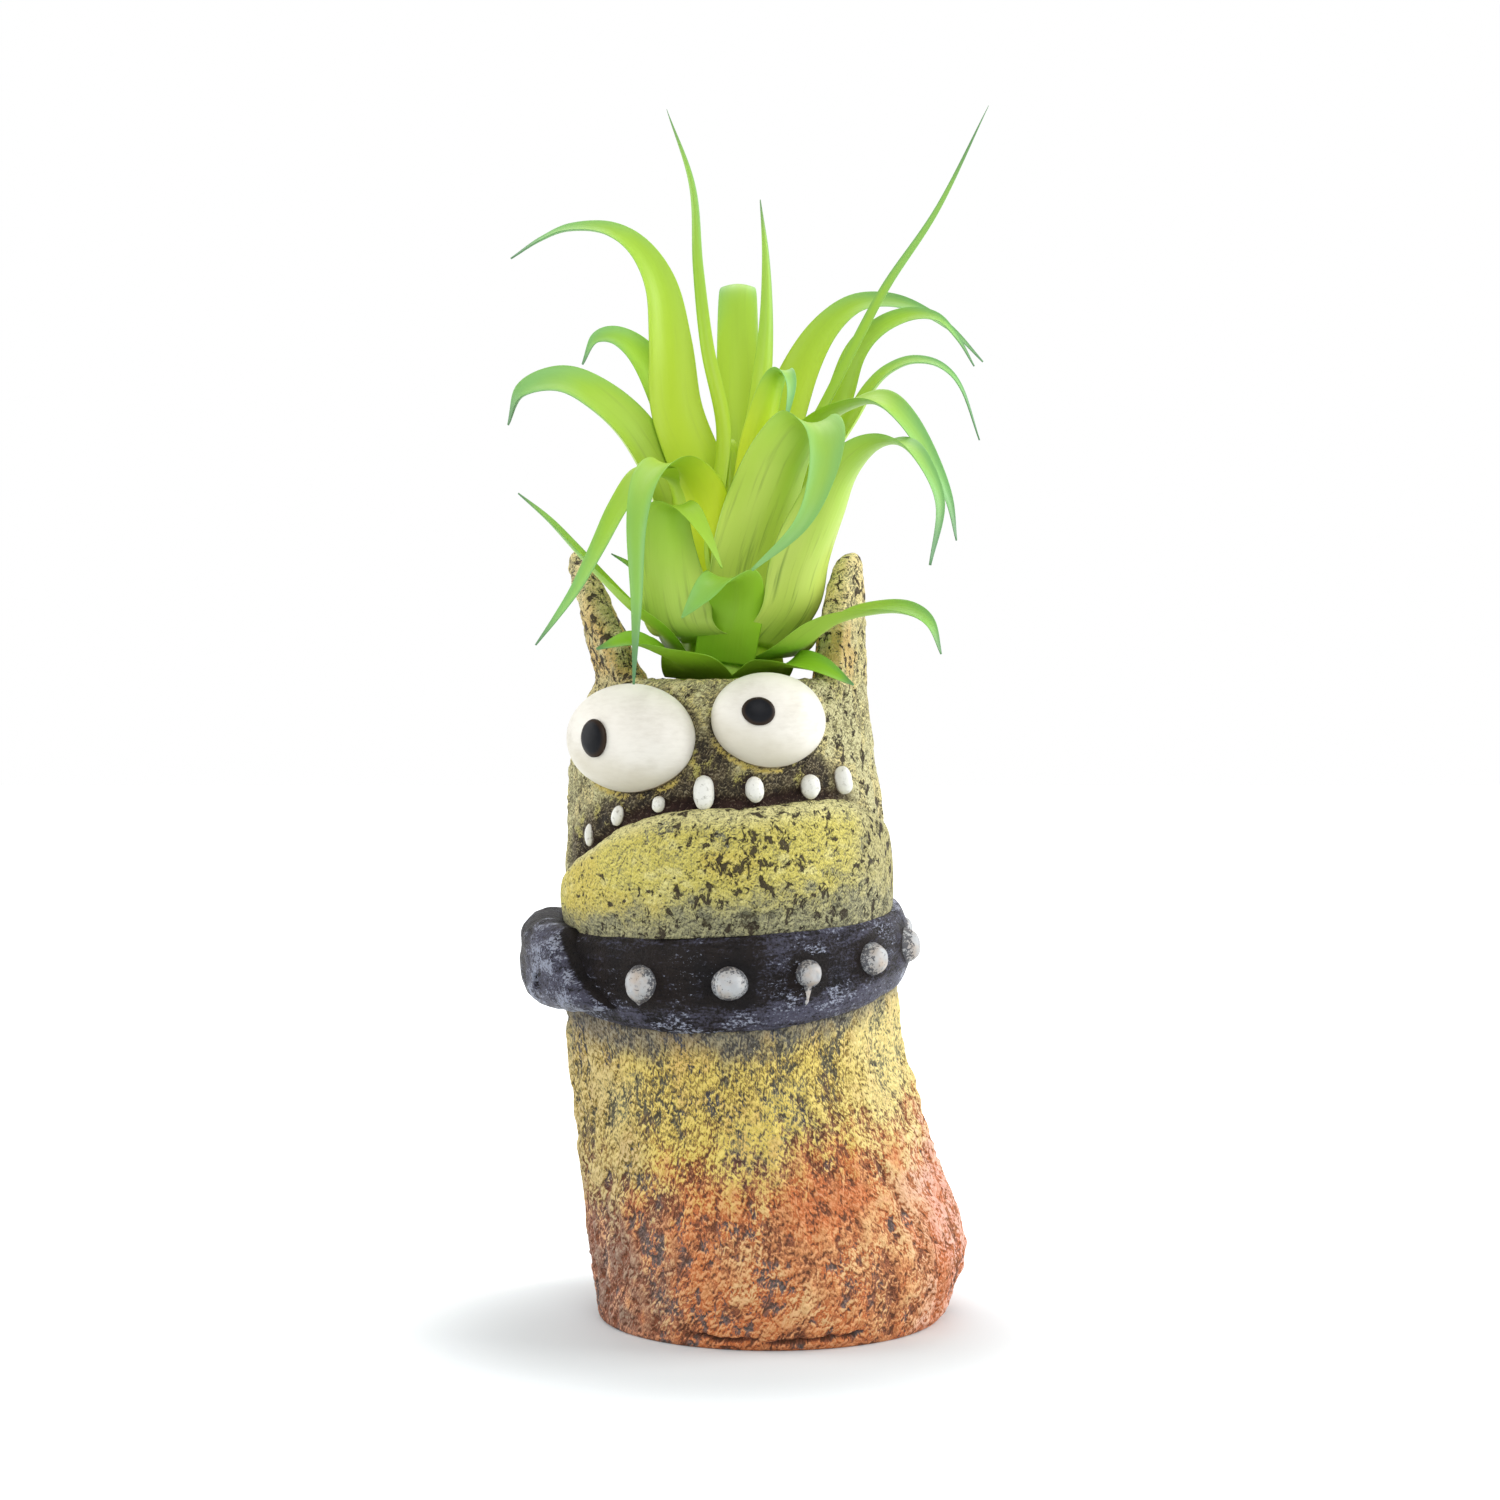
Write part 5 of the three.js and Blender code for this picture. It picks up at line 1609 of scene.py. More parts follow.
@dataclass
class Collar:
    """The padded strap with its free end, keeper loop and studs."""

    leather: Material
    silver: Material
    around: int = 480
    face: int = 52
    strap_roll: float = 0.88
    back_tuck: float = 0.9
    back_sunk: float = -0.7
    lay_start: float = 136
    mm_per_degree: float = 0.54
    tongue_start: float = -150
    tongue_end: float = -49
    tongue_slant: float = 12
    tongue_neck: Span = (-122, -94)
    tongue_halves: Span = (5.5, 7.6)
    tongue_thicks: Span = (3, 5.2)
    tongue_tuck: float = 3.2
    tongue_sunk: float = 0.4
    tongue_cut: float = 0.94
    tongue_rows: tuple[int, int] = (84, 14)
    tongue_mm_per_degree: float = 0.63
    slot_turn: float = -66
    slot_rise: float = -1.8
    slot_half: Span = (0.65, 1.4)
    slot_depth: float = 2.4
    keeper_start: float = -146
    keeper_end: float = -132
    keeper_rise: float = 8.5
    keeper_stand: float = 7.2
    keeper_square: float = 0.45
    keeper_half: float = 0.8
    keeper_grid: tuple[int, int] = (64, 28)
    stud_height: float = 2.5
    stud_sunk: float = 0.15
    stud_columns: int = 64
    strap_dent: Point = (5, 5, 3)
    tongue_dent: float = 2.4
    keeper_dent: float = 3
    cluster: Point = (5, 5, 4)

    def stand(self, row: Any) -> Any:
        """How far the strap's face stands off at a share s of its half width: 0.3 + 2.6 (1 - 0.55 s^4)."""
        return FORM.gap + FORM.collar_thick * (1 - 0.55 * row ** 4)

    def lay_of(self, turn: Array, rise: Array) -> Array:
        """Places along and across the strap, in millimetres, for streaks that run along it."""
        along, across = np.broadcast_arrays(np.radians(turn) * FORM.mean_radius, rise)
        return np.stack([along, across, along * 0], -1)

    def strap(self) -> None:
        """Makes the band: a padded section with rolled edges and a soft ridge, carried round the pot."""
        turn = turns_round(self.around)[:, None]
        angle = np.radians(turn)
        loop = np.stack([np.cos(angle), np.sin(angle), 0 * angle], -1) * 3
        row = rows_across(self.face)[None, :]
        rolled = np.maximum(np.abs(row) - self.strap_roll, 0) / (1 - self.strap_roll)
        roll = np.sqrt(np.clip(1 - rolled ** 2, 0, 1))
        edge = np.where(row > 0, 0.35 * Grain.rough(loop + 2, 3, 301), 0.5 * Grain.rough(loop + 9, 3, 305))
        ridge = 0.35 * np.exp(-(((row + 0.42 + 0.18 * Grain.rough(loop * 0.5, 2, 309)) / 0.16) ** 2))
        offset = (self.stand(row) + ridge - 0.2) * (0.1 + 0.9 * roll)
        half = FORM.collar_half(turn)
        rise = row * (half + 0.1 + edge * np.abs(row))
        face = FORM.point(turn, FORM.collar(turn) + rise, offset)
        back = FORM.point(turn, FORM.collar(turn) + (half - self.back_tuck) * (1, -1), self.back_sunk)
        grid = np.hstack([face, back])
        normal = outward_normals(grid, np.s_[:, 10:40], True)
        dents = Grain.rough(grid / self.strap_dent, 3, 313)
        bands = np.stack(np.broadcast_arrays(loop[..., 0] * 4, loop[..., 1] * 4, grid[..., 2] / 1.4), -1)
        creases = Grain.rough(bands, 2, 317)
        front = np.r_[np.ones(self.face), 0, 0][None, :]
        grid = grid + normal * (front * (0.22 * dents + 0.1 * creases))[..., None]
        rows = np.hstack([row, [[0, 0]]]) * np.ones_like(turn)
        # tone: more veil on the lower band and the rolled top edge, partly dry-brush and partly a painted
        # sheen, and more at the right end
        tone = ease(rows, -0.2, -0.7) + 0.5 * ease(rows, 0.6, 0.95)
        tone = tone + 0.6 * ease(turn, 4, 16) * ease(turn, 120, 90)
        lanes = {"relief": dents + 0.8 * creases,
                 "lay": self.lay_of((turn + self.lay_start) % 360, rows * half),
                 # Less veil within a few millimetres of each stud: painted shadow round the studs
                 "brushed": tone - 0.65 - 0.7 * ease(self.from_studs(turn, rows * half), 9, 5),
                 "flecks": self.clusters(grid) + 0.45 * tone - 0.34}
        settle(weld("padded_strap", grid, lanes, True), self.leather, Body.POT, Slot.COLLAR, "collar_strap")

    def from_studs(self, turn: Array, rise: Array) -> Array:
        """How far places on the strap are from the nearest stud, in degrees round it."""
        away = [np.hypot((turn - stud.turn + 180) % 360 - 180, (rise - stud.rise) / self.mm_per_degree)
                for stud in STUDS]
        return np.min(away, axis=0)

    def clusters(self, grid: Array) -> Array:
        """Where brushed flecks gather: wide noise, raised to islands."""
        return 1.2 * ease(Grain.rough(grid / self.cluster, 3, 319), -0.2, 0.4) - 0.75

    def tongue_place(self, share: Array, row: Array) -> tuple[Array, Array, Array]:
        """Where the tongue's points lie on the strap.

        Args:
            share: places from its start under the keeper to its slanted front.
            row: places across it, from -1 at its lower edge to 1.

        Returns:
            Turn, rise from the strap's middle, and how far the neck has swollen to the lobe, from 0 to 1.
        """
        turn = self.tongue_start + (self.tongue_end - self.tongue_slant * row - self.tongue_start) * share
        swell = ease(turn, *self.tongue_neck)
        half = np.interp(swell, (0, 1), self.tongue_halves)
        return turn, row * half + self.tongue_tuck * np.maximum(-row, 0) * share ** 4, swell

    def tongue(self) -> None:
        """Makes the free end: a neck that swells to a padded lobe, cut on a slant, with one slot."""
        rows, end_rows = self.tongue_rows
        last = 1 - self.tongue_cut
        rounding = self.tongue_cut + last * np.sin(np.linspace(0, np.pi / 2, end_rows + 1)[1:])
        share = np.r_[np.linspace(0, self.tongue_cut, rows), rounding][:, None]
        row = rows_across(self.face)[None, :]
        turn, rise, swell = self.tongue_place(share, row)
        thick = np.interp(swell, (0, 1), self.tongue_thicks) + self.tongue_sunk
        crest = 0.1 + 0.9 * np.sqrt(np.clip(1 - np.abs(row) ** 4, 0, 1))
        cut = np.clip(1 - 0.95 * (np.maximum(share - self.tongue_cut, 0) / last) ** 2.5, 0, 1)
        base = self.stand(0) - self.tongue_sunk
        beside = (turn - self.slot_turn) * self.tongue_mm_per_degree / self.slot_half[0]
        hole = ease(np.hypot(beside, (rise - self.slot_rise) / self.slot_half[1]), 1.2, 0.7)
        offset = base + thick * (1 - 0.3 * np.maximum(2 * share - 1, 0) ** 3) * crest * cut
        face = FORM.point(turn, FORM.collar(turn) + rise, offset - self.slot_depth * hole)
        rear_row = np.linspace(0.96, -0.96, 8)[None, :]
        rear_turn, rear_rise, _ = self.tongue_place(share, rear_row)
        tucked = (base - 0.8) * (1 - 0.6 * ease(np.abs(rear_row), 0.7, 0.95)) + 0 * rear_turn
        rear = FORM.point(rear_turn, FORM.collar(rear_turn) + rear_rise, tucked)
        grid = np.hstack([face, rear])
        normal = outward_normals(grid, np.s_[10:70, 10:40])
        front = np.r_[np.ones(row.size), np.zeros(rear_row.size)][None, :] * (1 - ease(share, 0.985, 1))
        dents = Grain.rough(grid / self.tongue_dent, 3, 331)
        grid = grid + normal * (front * 0.34 * dents)[..., None]
        dents = dents[:, :row.size]
        # worn: the brushed paint's reach, taken down at the slanted cut, the slot and the far left edge as
        # painted shade
        worn = 1.4 - 3 * ease(share, 0.98, 0.996) - 2 * hole - 1.4 * ease(turn + 4 * dents, -70, -80)
        pad = np.zeros(rear_turn.shape)
        lay = self.lay_of(np.hstack([turn, rear_turn]), np.hstack([rise, rear_rise]))
        lanes = {"relief": np.hstack([dents - 2.5 * hole, pad]),
                 "lay": lay * (2.6, 1, 1),
                 "brushed": np.hstack([worn - 0.5, pad]),
                 "flecks": np.hstack([0.45 * worn - 0.4 + 2 * dents, pad - 1])}
        settle(weld("strap_tongue", grid, lanes), self.leather, Body.POT, Slot.COLLAR, "collar_tongue")

    def keeper(self) -> None:
        """Makes the loop over the tongue: a rounded flat section carried along an arch from foot to foot."""
        rows, columns = self.keeper_grid
        phase = np.linspace(0, np.pi, rows)[:, None]
        rise = -self.keeper_rise * signed_power(np.cos(phase), self.keeper_square)
        stand = self.keeper_stand * np.abs(np.sin(phase)) ** self.keeper_square
        path = np.hstack([rise, stand])
        step = unit(np.gradient(path, axis=0))
        normal = np.stack([-step[:, 1], step[:, 0]], -1)
        around = 2 * np.pi * np.arange(columns)[None, :] / columns
        wide = signed_power(np.cos(around), 0.5)
        thick = self.keeper_half * signed_power(np.sin(around), 0.5)
        middle = (self.keeper_start + self.keeper_end) / 2
        turn = middle + wide * (self.keeper_end - self.keeper_start) / 2 + 0 * phase
        up = path[:, :1] + normal[:, :1] * thick
        out = np.maximum(path[:, 1:] + normal[:, 1:] * thick, -self.keeper_half)
        grid = FORM.point(turn, FORM.collar(turn) + up, out)
        dents = Grain.rough(grid / self.keeper_dent, 3, 351)
        grid = grid + 0.18 * dents[..., None] * (grid - grid.mean(1, keepdims=True)) / 4
        lanes = {"relief": dents, "lay": self.lay_of(turn, up), "brushed": 0 * turn + 0.2}
        lanes["flecks"] = 0.6 * dents
        settle(weld("keeper_loop", grid, lanes), self.leather, Body.POT, Slot.COLLAR, "collar_keeper")

    def stud(self, stud: Stud, number: int) -> None:
        """Makes a stud: a flat-topped dome of height h (1 - d^3.4) with an uneven outline.

        Some studs have a thin run of paint below them: a bell added to the outline.

        Args:
            stud: which stud.
            number: its number, from 1.
        """
        middle, axes = FORM.axes(stud.turn, FORM.collar(stud.turn) + stud.rise, self.stand(0), 0)
        share = np.r_[np.linspace(0.03, 0.9, 16), np.linspace(0.93, 1, 8), np.ones(3)][:, None]
        drop = np.r_[np.zeros(24), 0.5, 1.0, 1.6][:, None]
        spoke = 2 * np.pi * np.arange(self.stud_columns)[None, :] / self.stud_columns
        ring = np.stack([np.cos(spoke), np.sin(spoke), 0 * spoke], -1)
        wobble = 1 + 0.08 * Grain.rough(ring * 1.1 + 9 * number, 2, 400 + number)
        run = stud.run * np.exp(-(((spoke - 1.47 * np.pi) / 0.2) ** 2))
        reach = share * (1 + run)
        dome = self.stud_height * np.maximum(1 - reach ** 3.4, 0.3 * (1 - share ** 4))
        across = reach * wobble * stud.across * np.cos(spoke)
        tall = reach * wobble * stud.tall * np.sin(spoke)
        local = np.stack(np.broadcast_arrays(across, tall, dome - self.stud_sunk - drop), -1)
        local[..., 2] += 0.2 * Grain.rough(local / 1.3 + 7 * number, 3, 420)
        # edge: 1 at the stud's foot, for its specks and painted shade, and less along a run
        edge = ease(reach, 0.55, 1.0) * (1 - np.minimum(run, 1))
        piece = weld(f"stud_dome_{number}", middle + local @ axes, {"edge": edge})
        settle(piece, self.silver, Body.POT, Slot.STUD, f"collar_stud_{number}")

    def dress(self) -> None:
        """Makes the strap, its free end, the keeper and every stud."""
        self.strap()
        self.tongue()
        self.keeper()
        for number, stud in enumerate(STUDS, 1):
            self.stud(stud, number)


@dataclass
class Foam:
    """The plug in the pot, with the hole that the stem stands in."""

    finish: Material
    columns: int = 96
    top: float = 93
    top_rings: int = 22
    top_inset: float = -6.4
    wall_inset: float = -5.7
    wall_heights: tuple[float, ...] = (92.4, 80, 60, 40, 20, 8.4)
    hole: float = 3.3
    hole_depth: float = 24.3
    hole_middle: float = -6.7
    crumb: float = 2.5

    def dress(self) -> None:
        """Makes the plug: rings from the hole's floor up, out over the crumbly top and down the wall."""
        turn = turns_round(self.columns)
        angle = np.radians(turn)
        spoke = np.stack([np.sin(angle), -np.cos(angle), 0 * angle], -1)
        middle = np.array([self.hole_middle, 0, 0])
        bore = ((1.5, self.hole_depth), (self.hole, self.hole_depth), (self.hole, 12), (self.hole, 0.5))
        rings = [middle + spoke * radius + (0, 0, self.top - drop) for radius, drop in bore]
        inner = middle + spoke * (self.hole + 0.4) + (0, 0, self.top)
        outer = FORM.point(turn, self.top, self.top_inset)
        rings += [inner + (outer - inner) * part for part in np.linspace(0, 1, self.top_rings)]
        rings += [FORM.point(turn, height, self.wall_inset) for height in self.wall_heights]
        grid = np.stack(rings)
        crumb = Grain.rough(grid / self.crumb, 3, 501) * (np.abs(grid[..., 2] - self.top) < 0.01)
        grid[..., 2] += np.minimum(0.5 * crumb - 0.3 * (crumb != 0), 0)
        settle(weld("foam_plug", grid, {}), self.finish, Body.POT, Slot.FOAM, "planting_foam")


@dataclass(frozen=True)
class Leaf:
    """One leaf: its seat on the core, its outline, the points of its midrib and its tones.

    At its tip a blade lies level across its reach, or along side where that is given.
    """

    name: str
    azimuth: float
    seat: float
    width: float
    foot: float
    taper: float
    spine: tuple[Point, ...]
    deep: float = 0.0
    glow: float = 0.0
    cool: float = 1.0
    side: Optional[Point] = None
    cup: float = 0.42
    bare: float = 0.0
    dry: float = 0.85


LEAVES = (
    Leaf("rim_left", -120, 0.4, 15, 0.95, 1.1, (
        (-8, -14.5, 2.4), (-12.5, -18, 4.6), (-17, -19.5, 6.2), (-22.5, -21, 5)),
        0.7, 0, 0.1, (0.25, -0.63, -0.63)),
    Leaf("rim_right", -64, 0.4, 13, 0.95, 1.1, (
        (9, -15.5, 2.2), (14.5, -18.5, 1.9), (20.5, -22, -1)), 0.7, 0, 0.1, (0.57, 0.56, 0.56)),
    Leaf("reach_right", -38, 4, 11, 0.9, 1.3, (
        (11.6, -15, 5.6), (17.6, -22, 9.4), (24, -25, 11), (29, -28, 11), (32.5, -30, 9), (34.5, -31, 4)),
        0.5, 0, 0.5, (0.45, 0.7, 0.55), bare=0.4),
    Leaf("reach_left", -158, 4.5, 8, 0.8, 1.3, (
        (-12, -11, 8), (-17, -16, 12), (-21.5, -18, 16.5), (-26, -20, 21.5), (-30.5, -21, 26.5),
        (-35.5, -22, 31)), 0.25, 0, 0.4, (0, -0.7, -0.7)),
    Leaf("back_low", 95, 3, 7, 0.8, 1.6, ((-0.5, 14, 8), (-1, 21, 10), (-1.5, 27, 7)), 0.6, 0, 0.5),
    Leaf("front_small", -97, 3, 11.5, 0.9, 1.8, (
        (-0.5, -13.5, 8), (0.5, -17, 13.8), (0, -21.5, 16.5), (-2.5, -26, 15.5), (-5.5, -28, 12.5),
        (-8, -29, 10)), 0.45, 0, 0.5, dry=0.2),
    Leaf("broad_right", -55, 6, 17.5, 0.7, 1, (
        (10.5, -12.5, 12), (12.8, -15.5, 19), (16, -17.5, 27), (18.8, -19, 33.5), (23, -22, 38),
        (27.5, -25, 39), (31, -28, 36), (34, -31, 28.5), (32.5, -33, 18.5)), 0.05, 0.05, 0.7, bare=1),
    Leaf("upright_left", -115, 7, 14.5, 0.85, 1.3, (
        (-8.5, -13, 9), (-10.3, -14.5, 16), (-11, -16, 23), (-10.3, -18, 28.3), (-7.5, -20, 28.4),
        (-4.3, -21.5, 24), (-1.5, -22.5, 18.5)), 0.05, 0, 0, (0.55, 0.83, 0.1), 0.25, 0.9, 0.1),
    Leaf("short_left", 178, 9, 4.6, 0.9, 1.4, (
        (-11, -4, 14), (-15, -8, 17), (-17.5, -10, 19.5), (-20.5, -11, 21.5)), 0.2, 0, 0.5, (0, -0.7, -0.7)),
    Leaf("back_left", 128, 9, 11, 0.7, 1.4, (
        (-7, 11, 18), (-9.5, 17, 27), (-11, 24, 30), (-11.5, 30, 25), (-11, 33, 17)), 0.2, 0, 0.8),
    Leaf("back_right", 55, 8, 11, 0.7, 1.4, (
        (7.5, 11, 17), (10, 17, 26), (12, 24, 30), (13, 30, 26), (13, 34, 17)), 0.2, 0, 0.8),
    Leaf("centre_broad", -80, 12, 16.5, 0.62, 1.05, (
        (2, -10, 19), (5, -13.5, 28), (8.5, -17, 37), (12.5, -21, 42.3), (15.5, -26, 40.5), (15, -30.5, 33.5),
        (11.5, -34, 25), (3.5, -36, 17.5)), 0.05, 0.1, 0.65, bare=0.9, dry=0.2),
    Leaf("broad_left", 145, 15, 14, 0.85, 2.2, (
        (-9.5, 3, 24), (-13.5, 0.5, 34.5), (-18.5, -1.5, 43), (-24.5, -3, 48.5), (-30, -4, 51),
        (-36, -4.5, 49.5), (-38.6, -5, 44)), 0, 0.15, 0.7, (0, -0.6, -0.8), bare=0.6),
    Leaf("droop_front", -105, 15, 13.5, 0.9, 0.85, (
        (-4, -9, 24), (-6, -12, 32), (-10, -18, 36), (-13.5, -26, 33), (-15, -33, 25), (-15, -37, 12),
        (-15.5, -39, -1)), 0.45, 1, 0.5),
    Leaf("droop_left", -140, 17, 10.5, 0.9, 1, (
        (-7.5, -7, 26), (-9.5, -11, 33.5), (-14, -17.5, 34), (-18, -22.5, 28.5), (-21.5, -26, 21.5),
        (-25, -28, 15), (-28.5, -29, 10), (-32, -30, 5.5)), 0.3, 0.2, 0.7, (0.6, -0.7, -0.35)),
    Leaf("arch_right_front", -42, 17, 9.5, 0.8, 2, (
        (7.5, -7.5, 28), (11, -10.5, 37), (15.5, -13, 43), (20.5, -15.5, 46), (25, -18, 46.5), (29, -20, 43),
        (33, -22, 36.5), (36, -23, 30), (37.5, -24, 23)), 0.1, 0.15, 0.8, (0.45, 0.7, 0.55)),
    Leaf("arch_right_thin", 35, 18, 7, 0.9, 1.2, (
        (11, 3.5, 29), (16.5, 2.5, 38), (21.5, 0, 45.5), (24.5, -1.5, 50.5), (27.5, -3, 53.5),
        (31.5, -4.5, 55), (36, -6, 54), (39.5, -7.5, 50), (42.5, -9.5, 41)), 0.2, 0.2, 0.9, (0.2, 0.7, 0.7)),
    Leaf("back_broad", 92, 15, 12, 0.65, 1.4, (
        (0, 10, 25), (0.5, 15, 35), (1, 22, 40), (1, 30, 37), (0.5, 35, 28), (0.5, 37, 18)), 0.1, 0.1, 0.8),
    Leaf("arch_right_mid", 58, 20, 9.5, 0.8, 1.2, (
        (9, 6.5, 31), (14.5, 8, 40), (19.5, 8.5, 49), (22.5, 8, 57.5), (26.5, 7, 62), (31.5, 5, 64),
        (36, 4, 63.5), (39.5, 3, 60), (42.5, 2, 55)), 0.15, 0.2, 0.8, (0, 0.65, 0.76)),
    Leaf("hook_left", 118, 22, 14, 0.85, 1, (
        (-6.5, 7, 34), (-10.5, 9, 45.5), (-15.5, 10, 56), (-20, 10, 60.5), (-24, 9, 60.5), (-26.5, 8, 56)),
        0, 0.2, 0.8, (0, -0.5, -0.87)),
    Leaf("centre_fold", -75, 24, 7, 0.8, 1.6, (
        (3.5, -6, 35), (5.5, -7.5, 44), (7.5, -8.5, 50.8), (9, -11, 52.5), (10, -13, 49.5), (9, -15, 42.5)),
        0, 1, 0.9, dry=0.2),
    Leaf("arch_right_high", 72, 25, 11, 0.8, 1.2, (
        (6, 9, 36), (9.5, 12, 46), (13, 14.5, 55.5), (17, 16, 62.5), (22, 16.5, 67), (27.5, 16, 68),
        (33, 14, 66.5), (39, 11, 62.5), (44.5, 8, 56.5)), 0.1, 0.3, 0.8, (0, 0.7, 0.7)),
    Leaf("arch_left_tall", 105, 27, 14.2, 0.8, 0.85, (
        (-6.5, 4.5, 38), (-10.5, 5, 48), (-11.7, 5.5, 59.5), (-13.2, 5.5, 69), (-16.8, 5, 75.5),
        (-22, 4, 78.8), (-28.5, 3, 79), (-33.5, 2, 77), (-38.5, 0, 73.5)), 0, 0.3, 0.8, (-0.2, -0.8, -0.55)),
    Leaf("fold_back", 95, 28, 7.6, 0.9, 4, (
        (1, 7, 40), (1, 10.5, 52), (1, 14.5, 63), (1, 18.5, 70.5), (1, 23.5, 72), (0.5, 30, 70), (0, 35, 63)),
        0.05, 0.25, 0.8, cup=-0.12),
    Leaf("spike_left", -120, 32, 3, 0.95, 2, (
        (-1.6, -2.4, 44), (-4.4, -0.5, 58), (-6, 2, 72.5), (-7, 4, 87), (-11.5, 6, 100.7)),
        0.15, 0.25, 0.3, (1, -0.1, 0)),
    Leaf("spike_right", 5, 29, 3, 0.95, 2.5, (
        (9, 0.8, 36), (13.5, 0.8, 43), (17, 0.8, 49), (22, 1, 59), (27.5, 3, 69.5), (36.5, 7, 83.5),
        (45.8, 12, 102.6)), 0.2, 0.15, 0.5, (-0.9, 0.1, 0.43)),
    Leaf("spike_middle", -60, 33, 6, 0.9, 1, (
        (4.4, -2.2, 43), (5.6, -1.5, 53), (6.2, -0.5, 63), (6, 0.5, 74), (5, 1.5, 84)),
        0, 0.3, 0.2, (1, 0.2, 0)),
)


@dataclass
class Plant:
    """The tapered core and its leaves. Heights are counted from the low rim."""

    finish: Material
    middle: Point = (-6.7, 0, 111)
    stem_outline: tuple[Span, ...] = ((2.1, -42), (3, -39), (3, -17.7), (6, -17.7))
    core_outline: tuple[Span, ...] = ((9.6, 0), (6.4, 22), (1.6, 40.4))
    core_tip: Span = (0.4, 42)
    core_rows: int = 90
    core_columns: int = 60
    ribs: int = 9
    foot_out: float = 0.85
    steps: int = 72
    across: int = 13
    thick: float = 0.8
    tip: float = 0.03

    def midrib(self, leaf: Leaf, share: Array) -> tuple[Array, Array]:
        """Points and directions along a leaf's midrib.

        Args:
            leaf: the leaf.
            share: places from 0 at the foot to 1 at the tip.

        Returns:
            Points on a uniform Catmull-Rom curve through the foot and the spine, and unit tangents.
        """
        azimuth = math.radians(leaf.azimuth)
        radius, height = np.array(self.core_outline).T
        reach = np.interp(leaf.seat, height, radius) + self.foot_out
        foot = (reach * math.cos(azimuth), reach * math.sin(azimuth), leaf.seat)
        knots = np.array([foot, *leaf.spine], float)
        knots = np.vstack([2 * knots[0] - knots[1], knots, 2 * knots[-1] - knots[-2]])
        spans = len(knots) - 3
        piece = np.minimum((share * spans).astype(int), spans - 1)
        t = (share * spans - piece)[:, None]
        a, b, c, d = (knots[piece + k] for k in range(4))
        start, end = (c - a) / 2, (d - b) / 2
        point = (2 * t ** 3 - 3 * t ** 2 + 1) * b + (t ** 3 - 2 * t ** 2 + t) * start
        point += (3 * t ** 2 - 2 * t ** 3) * c + (t ** 3 - t ** 2) * end
        slope = (6 * t ** 2 - 6 * t) * b + (3 * t ** 2 - 4 * t + 1) * start
        slope += (6 * t - 6 * t ** 2) * c + (3 * t ** 2 - 2 * t) * end
        return point, unit(slope)

    def blade(self, leaf: Leaf) -> None:
        """Makes a leaf: a thin cupped section carried along its midrib and run out at the tip.

        Args:
            leaf: which leaf.
        """
        share = np.linspace(0, 1, self.steps)
        point, along = self.midrib(leaf, share)
        azimuth = math.radians(leaf.azimuth)
        seat_side = np.array([-math.sin(azimuth), math.cos(azimuth), 0])
        reach = unit((point[-1] - point[0]) * (1, 1, 0))
        tip_side = np.array(leaf.side or (-reach[1], reach[0], 0))
        level = seat_side + (tip_side - seat_side) * share[:, None]
        side = unit(level - (level * along).sum(1, keepdims=True) * along)
        upper = np.cross(along, side)
        rise = ease(share, 0, 0.3)
        taper = self.tip + (1 - self.tip) * (1 - share ** leaf.taper)
        half = leaf.width / 2 * (leaf.foot + (1 - leaf.foot) * rise) * taper
        thick = self.thick * (0.35 + 0.65 * taper)
        row = rows_across(self.across)
        rows = np.r_[row, row[::-1][1:-1]]
        face = np.r_[-np.ones(self.across), np.ones(self.across - 2)]
        aside = rows[None, :] * half[:, None]
        skin = face * (thick[:, None] / 2) * (1 - 0.85 * rows[None, :] ** 2)
        lift = leaf.cup * (rise / half)[:, None] * aside ** 2
        grid = point[:, None] + side[:, None] * aside[..., None] + upper[:, None] * (lift + skin)[..., None]
        length = np.r_[0, np.cumsum(np.linalg.norm(np.diff(point, axis=0), axis=1))]
        flat = np.ones_like(aside)
        number = len(leaf.name) * 3.1 + leaf.azimuth
        lanes = {tone: getattr(leaf, tone) * flat for tone in ("deep", "cool", "bare", "dry")}
        lanes["glow"] = min(1.7 * leaf.glow, 1) * flat * ease(share, 0.6, 0.15)[:, None]
        lanes["along"], lanes["aside"] = share[:, None] * flat, rows[None, :] * flat
        lanes["lay"] = np.stack([aside, length[:, None] * flat, number * flat], -1)
        blade = weld(f"blade_{leaf.name}", grid + self.middle, lanes)
        settle(blade, self.finish, Body.PLANT, Slot.LEAF, f"leaf_{leaf.name}")

    def stem(self) -> None:
        """Makes the core and its stem: an outline turned round the plant's axis, with shallow ribs."""
        radius, height = np.array((*self.stem_outline, *self.core_outline, self.core_tip)).T
        place = np.r_[0, np.cumsum(np.hypot(np.diff(radius), np.diff(height)))]
        fine = np.linspace(0, place[-1], self.core_rows)
        radius, height = np.interp(fine, place, radius), np.interp(fine, place, height)[:, None]
        angle = 2 * np.pi * np.arange(self.core_columns) / self.core_columns
        wide = radius[:, None] * (1 - 0.03 * np.cos(self.ribs * angle)[None, :] * ease(height, -16, 4))
        flat = np.ones_like(wide)
        grid = np.stack([wide * np.cos(angle), wide * np.sin(angle), height * flat], -1)
        share = ease(height, -20, 42) * flat
        lanes = {tone: 0 * flat for tone in ("aside", "cool", "bare", "dry")}
        lanes.update(along=share * 0.5, glow=0.5 * share, deep=0.5 * flat)
        lanes["lay"] = np.stack([wide * angle, height * flat, 0 * flat], -1)
        core = weld("leafy_core", grid + self.middle, lanes)
        settle(core, self.finish, Body.PLANT, Slot.LEAF, "plant_core")

    def dress(self) -> None:
        """Makes the core and every leaf."""
        self.stem()
        for leaf in LEAVES:
            self.blade(leaf)


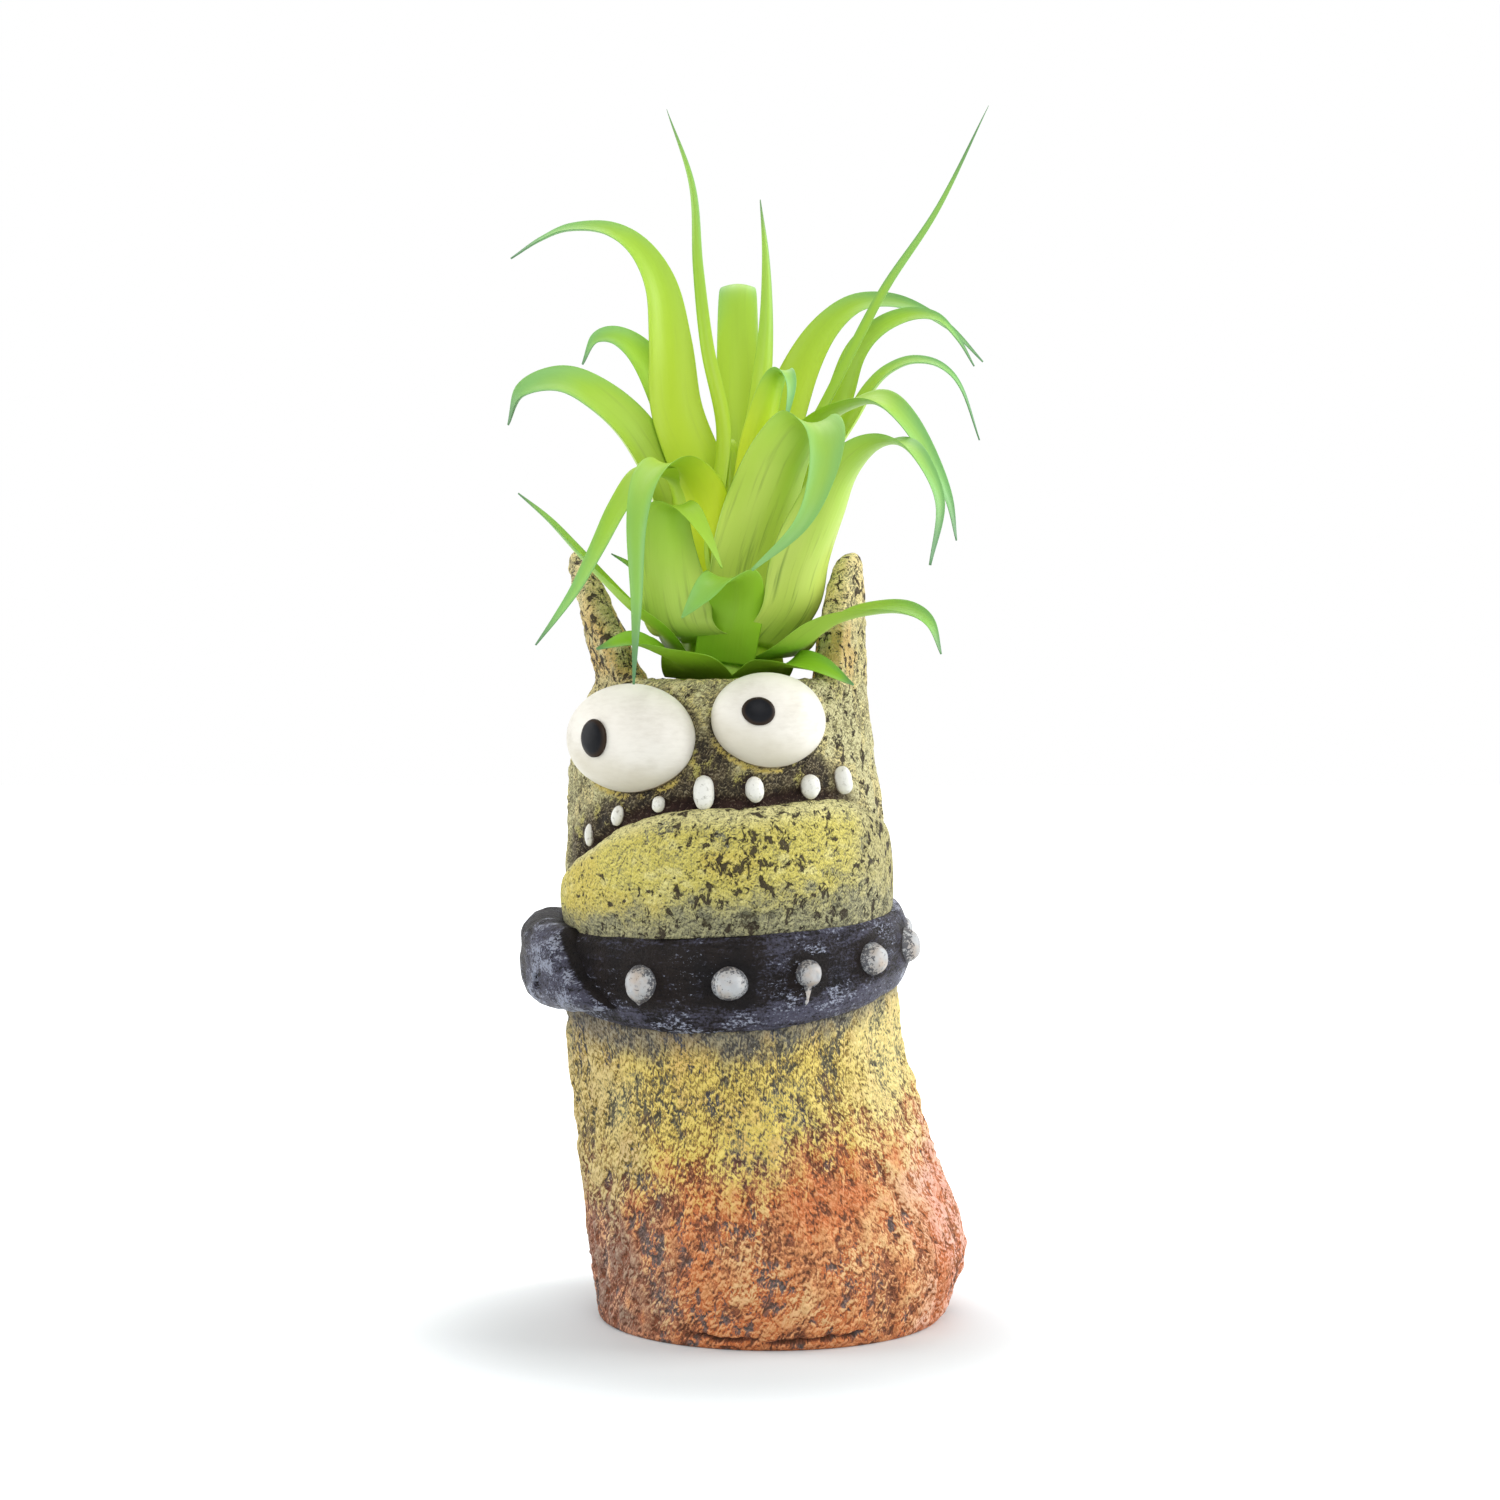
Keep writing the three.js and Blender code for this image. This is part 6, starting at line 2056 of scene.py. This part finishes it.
@dataclass(frozen=True)
class Lamp:
    """A square soft lamp: its place, the length of its side and its watts."""

    name: str
    place: Point
    side: float
    watts: float


@dataclass
class Studio:
    """Floor, white surround, soft lamps and the camera."""

    eye: Point = (-3.5, -490, 107.5)
    aim: Point = (-3.5, 0, 98.75)
    lens: float = 67.2
    sensor: float = 36
    world_strength: float = 0.42
    floor_half: float = 3000
    floor_colour: Colour = (0.73, 0.77, 0.79)
    near_glow: Colour = (0.08, 0.08, 0.08)
    white: Colour = (1, 1, 1)
    black: Colour = (0, 0, 0)
    shadow_middle: Point = (-6, -14, 0)
    shadow_reach: Span = (34, 100)
    lamps: tuple[Lamp, ...] = (
        Lamp("key lamp", (690, 20, 330), 500, 4.0),
        Lamp("fill lamp", (-690, 20, 280), 500, 2.3),
        Lamp("back lamp", (0, 260, 700), 500, 1.8),
        Lamp("front lamp", (60, -640, 430), 400, 1.9),
    )

    def surround(self) -> None:
        """Makes a white world, dimmer as a lamp than as a background."""
        world = bpy.data.worlds.new("white surround")
        bpy.context.scene.world = world
        world.use_nodes = True
        nodes = Nodes(world.node_tree)
        sockets = {"Value": nodes.seen(), "To Min": self.world_strength, "To Max": 1.0}
        level = nodes.node("ShaderNodeMapRange", {}, sockets)
        nodes.feed(world.node_tree.nodes["Background"], {"Color": self.white, "Strength": level})

    def floor(self) -> None:
        """Makes a pale sheet under the planter that keeps its shadow and runs out to white."""
        half = self.floor_half * MM
        corners = [(-half, -half, 0), (half, -half, 0), (half, half, 0), (-half, half, 0)]
        mesh = bpy.data.meshes.new("floor")
        mesh.from_pydata(corners, [], [(0, 1, 2, 3)])
        sheet = bpy.data.objects.new("floor", mesh)
        bpy.context.scene.collection.objects.link(sheet)
        r = Recipe("pale floor")
        middle = tuple(along * MM for along in self.shadow_middle)
        away = r.node("ShaderNodeVectorMath", {"operation": "DISTANCE"}, {0: r.place(), 1: middle}, "Value")
        near, far = (reach * MM for reach in self.shadow_reach)
        glow = r.mix(self.black, r.mix(self.near_glow, self.white, away.ease(near, far)), r.seen())
        mesh.materials.append(r.done(Base_Color=self.floor_colour, Roughness=0.9, Specular_IOR_Level=0.1,
                                     Emission_Color=glow, Emission_Strength=1.0))

    def stand(self, name: str, data: bpy.types.ID, place: Point) -> bpy.types.Object:
        """Stands a lamp or a camera up.

        Args:
            name: its name.
            data: the lamp or the camera.
            place: where it stands.

        Returns:
            The object, turned to look at the planter.
        """
        thing = bpy.data.objects.new(name, data)
        thing.location = Vector(place) * MM
        thing.rotation_euler = (Vector(self.aim) - Vector(place)).to_track_quat("-Z", "Y").to_euler()
        bpy.context.scene.collection.objects.link(thing)
        return thing

    def camera(self) -> None:
        """Puts the camera at the photograph's place."""
        data = bpy.data.cameras.new("camera")
        data.lens, data.sensor_width = self.lens, self.sensor
        bpy.context.scene.camera = self.stand("camera", data, self.eye)

    def dress(self) -> None:
        """Sets the stage."""
        bpy.context.scene.view_settings.view_transform = "Standard"
        self.camera()
        self.surround()
        self.floor()
        for lamp in self.lamps:
            light = bpy.data.lights.new(lamp.name, "AREA")
            light.energy, light.size = lamp.watts, lamp.side * MM
            self.stand(lamp.name, light, lamp.place)


def main() -> None:
    """Builds and dresses the planter, piece by piece."""
    logging.basicConfig(level=logging.INFO, format="%(message)s")
    Studio().dress()
    clay = ClayPaint().make()
    PotBody(clay).dress()
    Jaw(clay).dress()
    Face(EyePaint().make(), PupilPaint().make(), ToothPaint().make()).dress()
    Collar(CollarPaint().make(), StudPaint().make()).dress()
    Foam(FoamFinish().make()).dress()
    Plant(LeafFinish().make()).dress()


if __name__ == "__main__":
    main()
